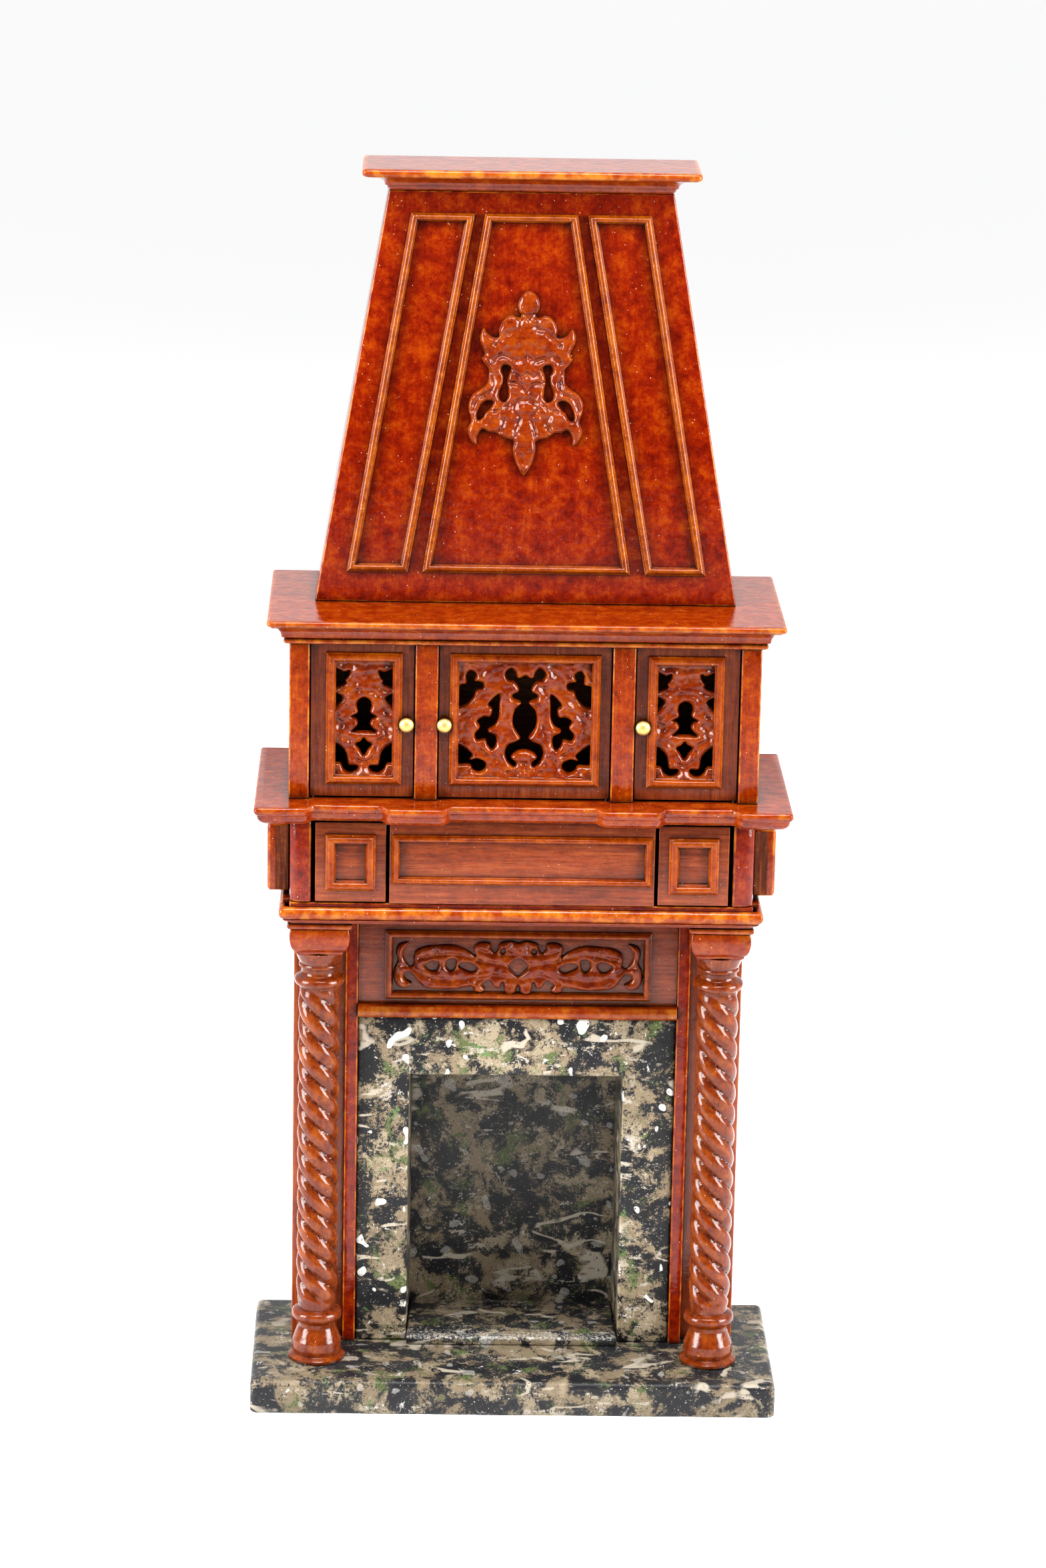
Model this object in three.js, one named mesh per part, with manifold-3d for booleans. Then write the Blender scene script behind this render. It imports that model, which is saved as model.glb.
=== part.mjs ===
// Miniature chimneypiece in 1:12 scale: a marbled hearth and firebox between two rope-twist
// columns, a band with two small drawers, a mantel shelf, an overmantel cupboard with three
// pierced doors and a tapering hood. Millimetres, +Z up, front faces -Y, origin at the centre
// of the footprint on the floor.
import * as THREE from "three";
import { mergeVertices } from "three/addons/utils/BufferGeometryUtils.js";
import Module from "manifold-3d";

const wasm = await Module();
wasm.setup();

// ---- driving dimensions ----
const BACK = 22.7; // plane of all the rear edges
const BOARD = 1.6; // thickness of the thin carcase boards

// hearth and firebox
const HEARTH = { half: 52.5, front: -21.7, top: 7.0, round: 1.1 };
const HEARTH_ARC = [0, 30, 60, 90]; // degrees round the upper edge
const FLOOR = { front: -1.7, top: 8.9, gap: 0.1 };
const MARBLE = { half: 31.85, front: 0.9, back: 3.1, top: 76.2, openHalf: 21.5, openTop: 64.0 };
const FIREBACK = { front: 19.4, back: 21.0 };
const CHEEK_SPLAY = 0.7; // each cheek leans this far inwards on its way to the back
const CEILING_DROP = 0.1; // the firebox ceiling hangs this far below the opening

// lower carcase
const JAMB = { outer: 44.8, side: 1.4, front: 1.1, top: 98.6 };
const BACKING = { front: 2.7, inner: 32.4 };
const STILE = { inner: 31.9, outer: 34.4, front: 0.3 };
const BEAD = { bottom: 76.4, top: 79.2, front: -1.3 };
const BEAD_ARC = [-90, -50, -15, 15, 50, 90]; // degrees round the bead
const FRIEZE = { front: 0.7, frameHalf: 26.6, frameBottom: 80.2, frameTop: 94.5, carving: 1.1 };

// columns and capitals
const COLUMN = { x: 39.5, y: -8.3, top: 93.2, shaftBottom: 18.6, shaftTop: 85.4, shaft: 4.1 };
const TWIST = { starts: 4, lead: 17.2, groove: 0.55, points: 20, steps: 44 };
const CAPITAL = { bottom: 93.2, neck: 4.9, ovolo: 5.9, ovoloTop: 98.2, abacus: 6.4, top: 100.4 };
// turned ends of a column, [radius, height], and how far they run into the twisted shaft
const COLUMN_FOOT = [[5.7, 7.0], [5.7, 7.8], [4.9, 8.3], [5.1, 9.6], [4.9, 11.6], [3.8, 14.4],
  [3.9, 15.2], [4.7, 15.8], [4.95, 16.8], [4.7, 17.8]];
const COLUMN_NECK = [[4.75, 86.0], [4.95, 86.8], [4.4, 87.8], [3.6, 88.7], [3.6, 89.4], [4.15, 89.9],
  [4.5, 91.2]];
const SHAFT_LAP = 0.1;

// lower shelf and drawer band
const LOWER = { half: 47.5, front: -17.2, bottom: 100.4, noseBottom: 101.9, top: 103.1 };
const BEARER = { half: 45.2, strip: 32.8, front: -4.5, behind: -1.6 };
const BASE_BOARD = { half: 46.9, step: 45.4, front: -15.9, wing: -13.2, top: 105.0 };
const BAND = { front: -16.2, top: 122.0, panelHalf: 25.9 };
const BAND_POST = { inner: 41.2, web: 43.0, outer: 45.4, round: 1.8 };
const BAND_END = { outer: 45.6, front: -1.7 };
const BAND_PARTITION = { inner: 25.1, outer: 26.0, behind: 1.0 };
const CENTRE_PANEL_FRAME = { half: 25.4, bottom: 109.1, top: 119.1 };
const DRAWER = { inner: 26.6, outer: 40.4, gap: 0.3, face: 1.8, back: 1.5, wall: 0.9 };
const DRAWER_FRAME = { halfWidth: 4.9, halfHeight: 5.7, z: 113.4 };
const PLAQUE = { front: -11.0, back: 4.0, bottom: 105.9, top: 119.4, board: 3.0 };

// mantel shelf
const SHELF = { half: 52.3, front: -22.7, rebate: 2.7, bottom: 122.0, noseBottom: 124.1, top: 125.85 };
const SHELF_STEPS = { centre: 14.9, middle: 26.9, corner: 41.8, taper: 2.0 };

// overmantel cupboard
const CUPBOARD = { half: 45.7, front: -15.6, bottom: 125.85, top: 157.0 };
const PILASTER = { outerInner: 41.8, innerInner: 16.9, innerOuter: 21.3, depth: 2.2 };
const DOOR = { face: -14.3, thick: 1.6, bottom: 126.25, top: 156.6, clear: 0.3 };
const PIN = { inset: 0.4, radius: 0.3, socket: 0.6, reach: 1.15, socketDepth: 1.3 };
const SIDE_FRAME = { inner: 23.8, outer: 38.6, bottom: 128.7, top: 155.1 };
const CENTRE_FRAME_HALF = 14.6;
const KNOB = { reach: 2.6, sideX: 22.95, centreX: -15.6, z: 141.0 };
const KNOB_PROFILE = [[0, 0], [0.5, 0], [0.5, 1.1], [1.4, 1.5], [1.29, 2.0], [0.77, 2.45]];

// cornice, hood and crown
const CORNICE = { half: 50.0, front: -21.6, noseBottom: 161.4, top: 162.6 };
const HOOD = { bottomHalf: 41.1, bottomFront: -3.8, topHalf: 27.6, topFront: 9.0, bottom: 162.6,
  top: 241.4, thick: 2.2 };
const PANELS = { foot: 5.9, head: 75.5, centreFoot: 20.3, centreHead: 9.0, sideFootIn: 23.1,
  sideFootOut: 35.0, sideHeadIn: 10.9, sideHeadOut: 23.3 };
const CROWN = { half: 32.8, front: 3.7, noseBottom: 244.8, top: 246.0 };

// moulding used for every applied rectangular frame: [inset from the outer edge, height]
const FRAME_PROFILE = [[0, 0], [0, 0.6], [0.5, 1.2], [1.2, 1.2], [1.65, 0.6], [1.65, 0]];
const DRAWER_FRAME_PROFILE = [[0, 0], [0, 0.8], [0.6, 1.5], [1.5, 1.5], [2.1, 0.8], [2.1, 0]];
const PLAQUE_PROFILE = [[0, -0.2], [0, 0.9], [0.5, 1.3], [1.7, 1.3], [2.2, 0.8], [2.2, -0.2]];

// ---- materials ----
const finish = (color, roughness, metalness = 0) =>
  new THREE.MeshStandardMaterial({ color, roughness, metalness });
const mahogany = () => finish(0x9a3a14, 0.28);
const darkMahogany = () => finish(0x6e3a2a, 0.4);
const rawWood = () => finish(0xb0703c, 0.7);
const marbled = () => finish(0x4a4640, 0.3);
const brass = () => finish(0xd9bd72, 0.25, 1);

// ---- geometry helpers ----

// A closed mesh from vertices and triangles, turned right side out.
function closed(points, faces) {
  const [a, b, c] = [new THREE.Vector3(), new THREE.Vector3(), new THREE.Vector3()];
  const volume = faces.reduce((sum, [i, j, k]) =>
    sum + a.set(...points[i]).dot(b.set(...points[j]).cross(c.set(...points[k]))), 0);
  const ordered = volume < 0 ? faces.map(([i, j, k]) => [i, k, j]) : faces;
  const geometry = new THREE.BufferGeometry();
  geometry.setAttribute("position", new THREE.Float32BufferAttribute(points.flat(), 3));
  geometry.setIndex(ordered.flat());
  return geometry;
}

function box(x0, x1, y0, y1, z0, z1) {
  const geometry = new THREE.BoxGeometry(x1 - x0, y1 - y0, z1 - z0);
  return geometry.translate((x0 + x1) / 2, (y0 + y1) / 2, (z0 + z1) / 2);
}

const outline = (points) => new THREE.Shape(points.map(([x, y]) => new THREE.Vector2(x, y)));

// A flat plate standing in the XZ plane, from yFront to yBack.
function plate(shape, yFront, yBack) {
  const geometry = new THREE.ExtrudeGeometry(shape, {
    depth: yBack - yFront, bevelEnabled: false, curveSegments: 6 });
  return geometry.rotateX(Math.PI / 2).translate(0, yBack, 0);
}

// A board lying flat: one plan outline [x, y] for each height, joined level by level.
function loft(levels) {
  const count = levels[0].plan.length;
  const points = levels.flatMap(({ z, plan }) => plan.map(([x, y]) => [x, y, z]));
  const plan2d = levels[0].plan.map(([x, y]) => new THREE.Vector2(x, y));
  const cap = THREE.ShapeUtils.triangulateShape(plan2d, []);
  const last = (levels.length - 1) * count;
  const faces = [];
  cap.forEach(([i, j, k]) => {
    faces.push([i, k, j], [last + i, last + j, last + k]);
  });
  for (let level = 0; level < levels.length - 1; level++) {
    for (let i = 0; i < count; i++) {
      const [p, q] = [level * count + i, level * count + ((i + 1) % count)];
      faces.push([p, q, q + count], [p, q + count, p + count]);
    }
  }
  return closed(points, faces);
}

// A rectangle open to the back: it grows sideways and forwards by `out`, never behind BACK.
const planBox = (half, front) => (out) => [
  [-half - out, BACK], [-half - out, front - out], [half + out, front - out], [half + out, BACK]];

// A board whose ends and front edge follow a moulding profile [out, height].
const moulded = (plan, profile) => loft(profile.map(([out, z]) => ({ z, plan: plan(out) })));

// A picture-frame moulding on the given corners [x, z], standing forwards from yBack.
function frame(corners, yBack, profile = FRAME_PROFILE) {
  const count = corners.length;
  const inward = corners.map(([x, z], i) => {
    const here = new THREE.Vector2(x, z);
    const next = new THREE.Vector2(...corners[(i + 1) % count]).sub(here).normalize();
    const before = here.clone().sub(new THREE.Vector2(...corners[(i + count - 1) % count])).normalize();
    const normals = [before, next].map((d) => new THREE.Vector2(-d.y, d.x));
    const mitre = normals[0].clone().add(normals[1]);
    return mitre.divideScalar(mitre.dot(normals[0]));
  });
  const points = profile.flatMap(([inset, height]) =>
    corners.map(([x, z], i) => [x + inward[i].x * inset, yBack - height, z + inward[i].y * inset]));
  const faces = [];
  profile.forEach((_, level) => {
    const above = (level + 1) % profile.length;
    for (let i = 0; i < count; i++) {
      const j = (i + 1) % count;
      faces.push([level * count + i, level * count + j, above * count + j]);
      faces.push([level * count + i, above * count + j, above * count + i]);
    }
  });
  return closed(points, faces);
}

const rectangle = (x0, x1, z0, z1) => [[x0, z0], [x1, z0], [x1, z1], [x0, z1]];

function solid(geometry) {
  const bare = geometry.clone();
  bare.deleteAttribute("normal");
  bare.deleteAttribute("uv");
  const merged = mergeVertices(bare, 1e-4);
  return new wasm.Manifold(new wasm.Mesh({
    numProp: 3,
    vertProperties: new Float32Array(merged.attributes.position.array),
    triVerts: new Uint32Array(merged.index.array) }));
}

function fromSolid(manifold) {
  const mesh = manifold.getMesh();
  const geometry = new THREE.BufferGeometry();
  geometry.setAttribute("position", new THREE.Float32BufferAttribute(mesh.vertProperties, 3));
  geometry.setIndex([...mesh.triVerts]);
  return geometry;
}

const join = (...pieces) => fromSolid(pieces.map(solid).reduce((a, b) => a.add(b)));
const cut = (piece, ...tools) => fromSolid(tools.map(solid).reduce((a, b) => a.subtract(b), solid(piece)));

const post = (radius, x, y, z0, z1) =>
  new THREE.CylinderGeometry(radius, radius, z1 - z0, 16).rotateX(Math.PI / 2)
    .translate(x, y, (z0 + z1) / 2);

// The same shape on the other side of the X = 0 plane.
function mirrored(geometry) {
  const flipped = (geometry.index ? geometry : mergeVertices(geometry)).clone();
  flipped.scale(-1, 1, 1);
  const index = [...flipped.index.array];
  for (let i = 0; i < index.length; i += 3) [index[i], index[i + 1]] = [index[i + 1], index[i]];
  flipped.setIndex(index);
  flipped.deleteAttribute("normal");
  return flipped;
}

// ---- assembly ----
const mantel = new THREE.Group();

function add(name, geometry, material, parent = mantel) {
  const mesh = new THREE.Mesh(geometry, material);
  mesh.name = name;
  if (!geometry.attributes.normal) geometry.computeVertexNormals();
  parent.add(mesh);
}

// A piece that is made for the right-hand side and repeated on the left.
function addPair(name, geometry, material) {
  add(`${name}_right`, geometry, material());
  add(`${name}_left`, mirrored(geometry), material());
}

// ---- hearth and firebox ----
function hearthSlab() {
  const { half, front, top, round } = HEARTH;
  const inner = planBox(half - round, front + round);
  const arc = HEARTH_ARC.map((a) => THREE.MathUtils.degToRad(a));
  const profile = [[round * 0.6, 0], [round, round * 0.5],
    ...arc.map((a) => [round * Math.cos(a), top - round + round * Math.sin(a)])];
  return moulded(inner, profile);
}

function marbleSurround() {
  const { half, front, back, top, openHalf, openTop } = MARBLE;
  return plate(outline([[-half, HEARTH.top], [-openHalf, HEARTH.top], [-openHalf, openTop],
    [openHalf, openTop], [openHalf, HEARTH.top], [half, HEARTH.top], [half, top], [-half, top]]),
  front, back);
}

// Two splayed cheeks under one flat ceiling, behind the marble surround.
function fireboxLiner() {
  const { back, openHalf, openTop } = MARBLE;
  const inner = openHalf - CHEEK_SPLAY;
  const cheek = loft([FLOOR.top, openTop].map((z) => ({ z, plan: [
    [openHalf, back], [openHalf + BOARD, back], [openHalf + BOARD, FIREBACK.front],
    [inner, FIREBACK.front]] })));
  const ceiling = box(-openHalf - BOARD, openHalf + BOARD, back, FIREBACK.front, openTop - CEILING_DROP,
    openTop + BOARD);
  return join(cheek, mirrored(cheek), ceiling);
}

// Raised slab that fills the opening and narrows with the cheeks.
function fireboxFloor() {
  const { front, top, gap } = FLOOR;
  const [fore, rear] = [MARBLE.openHalf - gap, MARBLE.openHalf - CHEEK_SPLAY - gap];
  const plan = [[-rear, FIREBACK.front], [-fore, MARBLE.back], [-fore, front], [fore, front],
    [fore, MARBLE.back], [rear, FIREBACK.front]];
  return loft([HEARTH.top, top].map((z) => ({ z, plan })));
}

add("hearth_slab", hearthSlab(), marbled());
add("firebox_floor", fireboxFloor(), marbled());
add("marble_surround", marbleSurround(), marbled());
add("firebox_liner", fireboxLiner(), marbled());
add("firebox_back", box(-JAMB.outer + JAMB.side, JAMB.outer - JAMB.side, FIREBACK.front, FIREBACK.back,
  HEARTH.top, JAMB.top), marbled());

// ---- lower carcase ----
function jamb() {
  const side = box(JAMB.outer - JAMB.side, JAMB.outer, JAMB.front, BACK, HEARTH.top, JAMB.top);
  const backing = box(BACKING.inner, JAMB.outer - JAMB.side / 2, BACKING.front, BACKING.front + BOARD,
    HEARTH.top, JAMB.top);
  return join(side, backing);
}

function beadRail() {
  const { bottom, top, front } = BEAD;
  const [middle, radius] = [(bottom + top) / 2, (top - bottom) / 2];
  const arc = BEAD_ARC.map((a) => THREE.MathUtils.degToRad(a));
  const section = arc.map((a) => [-front - radius + radius * Math.cos(a), middle + radius * Math.sin(a)]);
  const plan = outline([[-FRIEZE.front, bottom], ...section, [-FRIEZE.front, top]]);
  const length = 2 * STILE.inner;
  return new THREE.ExtrudeGeometry(plan, { depth: length, bevelEnabled: false })
    .rotateX(Math.PI / 2).rotateZ(-Math.PI / 2).translate(length / 2, 0, 0);
}

// Half outline [x, z] of the scrollwork, from the top centre round to the bottom centre.
const FRIEZE_SCROLL = [[0, 92.6], [3.4, 92.8], [4.6, 91.0], [7.6, 91.8], [9.4, 91.0], [12.0, 92.2],
  [16.6, 91.6], [19.6, 92.4], [21.6, 90.6], [24.4, 92.6], [23.6, 88.4], [25.0, 85.4], [22.6, 83.6],
  [19.6, 85.0], [14.0, 83.0], [9.6, 84.6], [7.4, 82.8], [5.6, 84.6], [2.8, 82.4], [0, 83.4]];
const symmetric = (half) => [...half, ...half.slice(1, -1).reverse().map(([x, z]) => [-x, z])];

addPair("jamb", jamb(), darkMahogany);
addPair("stile", box(STILE.inner, STILE.outer, STILE.front, STILE.front + BOARD, HEARTH.top, JAMB.top),
  mahogany);
add("frieze_board", box(-STILE.inner, STILE.inner, FRIEZE.front, FRIEZE.front + BOARD, MARBLE.top,
  JAMB.top), darkMahogany());
add("bead_rail", beadRail(), mahogany());
add("frieze_frame", frame(rectangle(-FRIEZE.frameHalf, FRIEZE.frameHalf, FRIEZE.frameBottom,
  FRIEZE.frameTop), FRIEZE.front), mahogany());
add("frieze_carving", plate(outline(symmetric(FRIEZE_SCROLL)), FRIEZE.front - FRIEZE.carving,
  FRIEZE.front), mahogany());

// ---- columns ----
function twistColumn() {
  const { top, shaftBottom, shaftTop, shaft } = COLUMN;
  const turned = (profile) => new THREE.LatheGeometry(
    profile.map(([r, z]) => new THREE.Vector2(r, z)), TWIST.points).rotateX(Math.PI / 2);
  const [footTop, neckBottom] = [shaftBottom + SHAFT_LAP, shaftTop - SHAFT_LAP];
  const foot = turned([[0, HEARTH.top], ...COLUMN_FOOT, [shaft, footTop], [0, footTop]]);
  const neck = turned([[0, neckBottom], [shaft, neckBottom], ...COLUMN_NECK, [CAPITAL.neck, top],
    [0, top]]);
  const levels = [];
  for (let step = 0; step <= TWIST.steps; step++) {
    const z = shaftBottom + ((shaftTop - shaftBottom) * step) / TWIST.steps;
    const turn = (-2 * Math.PI * z) / TWIST.lead;
    const plan = [];
    for (let i = 0; i < TWIST.points; i++) {
      const angle = (2 * Math.PI * i) / TWIST.points;
      const lobe = Math.abs(Math.sin((TWIST.starts * angle) / 2));
      const radius = shaft - TWIST.groove * (1 - lobe);
      plan.push([radius * Math.cos(angle + turn), radius * Math.sin(angle + turn)]);
    }
    levels.push({ z, plan });
  }
  return join(foot, loft(levels), neck);
}

function capitalBlock() {
  const { bottom, neck, ovolo, ovoloTop, abacus, top } = CAPITAL;
  const square = (half) => [[-half, -half], [half, -half], [half, half], [-half, half]];
  const profile = [[neck - 0.4, bottom], [neck + 0.3, bottom + 0.5], [ovolo - 0.2, bottom + 2.4],
    [ovolo, bottom + 4.0], [ovolo - 0.5, ovoloTop], [abacus - 0.5, ovoloTop + 0.5],
    [abacus, ovoloTop + 1.0], [abacus, top]];
  return loft(profile.map(([half, z]) => ({ z, plan: square(half) })));
}

[["right", 1], ["left", -1]].forEach(([side, sign]) => {
  const bay = new THREE.Group();
  bay.position.set(sign * COLUMN.x, COLUMN.y, 0);
  add(`column_${side}`, twistColumn(), mahogany(), bay);
  add(`capital_block_${side}`, capitalBlock(), mahogany(), bay);
  mantel.add(bay);
});

// ---- lower shelf and drawer band ----

// Packing board under the shelf, brought forward between the two capital blocks.
function shelfBearer() {
  const { half, strip, front, behind } = BEARER;
  const plan = [[-half, BACK], [-half, behind], [-strip, behind], [-strip, front], [strip, front],
    [strip, behind], [half, behind], [half, BACK]];
  return loft([JAMB.top, LOWER.bottom].map((z) => ({ z, plan })));
}

add("lower_shelf_moulding", shelfBearer(), darkMahogany());
add("lower_shelf", moulded(planBox(LOWER.half, LOWER.front),
  [[-2.3, LOWER.bottom], [-1.7, LOWER.bottom + 0.8], [-0.6, LOWER.noseBottom - 0.1],
    [-0.1, LOWER.noseBottom + 0.2], [0, LOWER.noseBottom + 0.6], [-0.2, LOWER.top]]), mahogany());

function baseBoard() {
  const { half, step, front, wing, top } = BASE_BOARD;
  const plan = [[-half, BACK], [-half, wing], [-step, wing], [-step, front], [step, front],
    [step, wing], [half, wing], [half, BACK]];
  return loft([{ z: LOWER.top, plan }, { z: top, plan }]);
}

// Rear wall, end walls and the two drawer partitions in one piece.
function bandCarcase() {
  const { outer, front } = BAND_END;
  const [bottom, top] = [BASE_BOARD.top, BAND.top];
  const rear = box(-outer, outer, BACK - BOARD, BACK, bottom, top);
  const end = box(BAND_POST.web, outer, front, BACK, bottom, top);
  const partition = box(BAND_PARTITION.inner, BAND_PARTITION.outer, BAND.front + BOARD,
    BACK - BAND_PARTITION.behind, bottom, top);
  return join(rear, end, mirrored(end), partition, mirrored(partition));
}

// Partition beside a drawer. It is thick in front of the end wall, with a round outer corner.
function bandPost() {
  const { inner, web, outer, round } = BAND_POST;
  const corner = [90, 60, 30, 0].map((a) => THREE.MathUtils.degToRad(a));
  const plan = [[inner, BACK - BOARD], [inner, BAND.front],
    ...corner.map((a) => [outer - round + round * Math.cos(a), BAND.front + round - round * Math.sin(a)]),
    [outer, BAND_END.front], [web, BAND_END.front], [web, BACK - BOARD]];
  return loft([BASE_BOARD.top, BAND.top].map((z) => ({ z, plan })));
}

const DRAWER_BOTTOM = BASE_BOARD.top + DRAWER.gap;
const DRAWER_TOP = BAND.top - 2 * DRAWER.gap;

function drawer() {
  const { inner, outer, face, back, wall } = DRAWER;
  const block = box(inner, outer, BAND.front, back, DRAWER_BOTTOM, DRAWER_TOP);
  const hollow = box(inner + wall, outer - wall, BAND.front + face, back - wall, DRAWER_BOTTOM + wall,
    DRAWER_TOP + 1);
  return cut(block, hollow);
}

function drawerFrame() {
  const { halfWidth, halfHeight, z } = DRAWER_FRAME;
  const x = (DRAWER.inner + DRAWER.outer) / 2;
  return frame(rectangle(x - halfWidth, x + halfWidth, z - halfHeight, z + halfHeight), BAND.front,
    DRAWER_FRAME_PROFILE);
}

// Square block on the end of the band with a raised rim on its outer face.
function sidePlaque() {
  const { front, back, bottom, top, board } = PLAQUE;
  const block = box(BAND_END.outer, BAND_END.outer + board, front, back, bottom, top);
  const raised = frame(rectangle(front, back, bottom, top), 0, PLAQUE_PROFILE);
  raised.rotateZ(Math.PI / 2).translate(BAND_END.outer + board, 0, 0);
  return join(block, raised);
}

add("band_base_board", baseBoard(), mahogany());
add("band_carcase", bandCarcase(), darkMahogany());
addPair("band_post", bandPost(), mahogany);
add("band_centre_panel", box(-BAND.panelHalf, BAND.panelHalf, BAND.front, BAND.front + BOARD,
  BASE_BOARD.top, BAND.top), darkMahogany());
add("centre_panel_frame", frame(rectangle(-CENTRE_PANEL_FRAME.half, CENTRE_PANEL_FRAME.half,
  CENTRE_PANEL_FRAME.bottom, CENTRE_PANEL_FRAME.top), BAND.front), mahogany());
addPair("drawer", drawer(), darkMahogany);
addPair("drawer_frame", drawerFrame(), mahogany);
addPair("side_plaque", sidePlaque(), mahogany);

// ---- mantel shelf ----

// Break-front outline: forward at the corners and beside the centre, set back between them.
function shelfPlan(out) {
  const { half, front, rebate } = SHELF;
  const { centre, middle, corner, taper } = SHELF_STEPS;
  const [fore, rear] = [front - out, front + rebate - out];
  const right = [[centre - taper / 2, rear], [centre + taper / 2, fore], [middle - taper / 2, fore],
    [middle + taper / 2, rear], [corner - taper / 2, rear], [corner + taper / 2, fore],
    [half + out, fore], [half + out, BACK]];
  const left = right.map(([x, y]) => [-x, y]).reverse();
  return [...left, ...right];
}

// Each door turns on pins close to the outer front corner of its board.
const sideHinge = PILASTER.outerInner - DOOR.clear;
const centreHinge = PILASTER.innerInner - DOOR.clear;
const hingeY = DOOR.face + PIN.inset;
const hinges = [PIN.inset - sideHinge, centreHinge - PIN.inset, sideHinge - PIN.inset];

const sockets = (z0, z1) => hinges.map((x) => post(PIN.socket, x, hingeY, z0, z1));

const shelfBoard = moulded(shelfPlan, [[-0.7, SHELF.noseBottom], [-0.15, SHELF.noseBottom + 0.4],
  [0, SHELF.noseBottom + 0.9], [-0.35, SHELF.top]]);
add("mid_shelf", cut(shelfBoard, ...sockets(SHELF.top - PIN.socketDepth, SHELF.top + 1)), mahogany());
add("mid_shelf_moulding", moulded(shelfPlan, [[-2.9, SHELF.bottom], [-2.6, SHELF.bottom + 0.7],
  [-1.7, SHELF.bottom + 1.3], [-1.3, SHELF.noseBottom]]), mahogany());

// ---- cupboard carcase ----
function cupboardSide() {
  const { half, front, bottom, top } = CUPBOARD;
  const pilaster = box(PILASTER.outerInner, half, front, front + PILASTER.depth, bottom, top);
  const board = box(half - BOARD, half, front + 1, BACK, bottom, top);
  return join(pilaster, board);
}

addPair("cupboard_side", cupboardSide(), mahogany);
addPair("inner_pilaster", box(PILASTER.innerInner, PILASTER.innerOuter, CUPBOARD.front,
  CUPBOARD.front + PILASTER.depth, CUPBOARD.bottom, CUPBOARD.top), mahogany);
const partitionX = (PILASTER.innerInner + PILASTER.innerOuter) / 2;
addPair("cupboard_partition", box(partitionX - BOARD / 2, partitionX + BOARD / 2,
  CUPBOARD.front + PILASTER.depth, BACK - BOARD, CUPBOARD.bottom, CUPBOARD.top), darkMahogany);
add("cupboard_back", box(-CUPBOARD.half + BOARD, CUPBOARD.half - BOARD, BACK - BOARD, BACK,
  CUPBOARD.bottom, CUPBOARD.top), darkMahogany());

// ---- doors ----

// Right half of the pierced pattern in a side door, [x, z] from the panel's centre.
const SIDE_FRET = [
  [[5.4, 10.0], [2.9, 10.0], [3.3, 7.2], [5.4, 6.9]],
  [[5.4, -4.6], [4.2, -5.4], [3.6, -9.2], [1.9, -10.6], [4.4, -11.0], [5.4, -9.4]]];
// The keyhole figure and the diamond below it cross the centre line.
const SIDE_FRET_CENTRE = [
  [[0, 4.4], [1.2, 3.9], [1.5, 2.4], [1.1, 1.2], [2.4, 0.8], [1.5, -0.4], [2.8, -2.4], [0, -2.6]],
  [[0, -3.6], [1.6, -5.0], [0, -7.2]]];
const CENTRE_FRET = [
  [[13.1, 10.1], [9.2, 10.1], [9.6, 7.6], [13.1, 4.4]],
  [[7.0, 5.2], [6.2, 3.2], [6.4, -0.2], [5.6, -1.9], [4.6, -0.4], [4.8, 3.0]],
  [[8.6, -2.2], [7.2, -2.6], [7.0, -4.4], [8.4, -4.6]],
  [[13.1, -4.8], [10.8, -6.6], [10.6, -8.4], [7.4, -9.0], [8.0, -10.4], [13.1, -10.4]]];
const CENTRE_FRET_CENTRE = [
  [[0, 9.4], [2.6, 9.6], [3.2, 8.0], [1.6, 7.0], [0, 7.2]],
  [[0, 3.4], [1.9, 1.4], [1.9, -0.8], [0, -2.4]],
  [[0, -5.0], [3.2, -5.2], [3.4, -9.4], [1.8, -7.4], [0, -6.6]]];

// A pierced board from its free edge to its hinge edge, with a pivot pin at each end.
// `hinge` is +1 when the hinge is on the right.
function door(freeX, hingeEdgeX, hinge, panelX, halves, centred) {
  const { face, thick, bottom, top } = DOOR;
  const panelZ = (SIDE_FRAME.bottom + SIDE_FRAME.top) / 2;
  const holes = [...halves, ...halves.map((h) => h.map(([x, z]) => [-x, z])), ...centred.map(symmetric)]
    .map((points) => outline(points.map(([x, z]) => [panelX + x, panelZ + z])));
  const [x0, x1] = [Math.min(freeX, hingeEdgeX), Math.max(freeX, hingeEdgeX)];
  const board = cut(box(x0, x1, face, face + thick, bottom, top),
    ...holes.map((hole) => plate(hole, face - 1, face + thick + 1)));
  return join(board, post(PIN.radius, hingeEdgeX - hinge * PIN.inset, hingeY, bottom - PIN.reach,
    top + PIN.reach));
}

function knob(x) {
  const profile = [...KNOB_PROFILE, [0, KNOB.reach]].map(([r, y]) => new THREE.Vector2(r, y));
  return new THREE.LatheGeometry(profile, 16).rotateX(Math.PI).translate(x, DOOR.face, KNOB.z);
}

const panelX = (SIDE_FRAME.inner + SIDE_FRAME.outer) / 2;
const sideFree = PILASTER.innerOuter + DOOR.clear;
const sideRectangle = rectangle(SIDE_FRAME.inner, SIDE_FRAME.outer, SIDE_FRAME.bottom, SIDE_FRAME.top);

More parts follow.
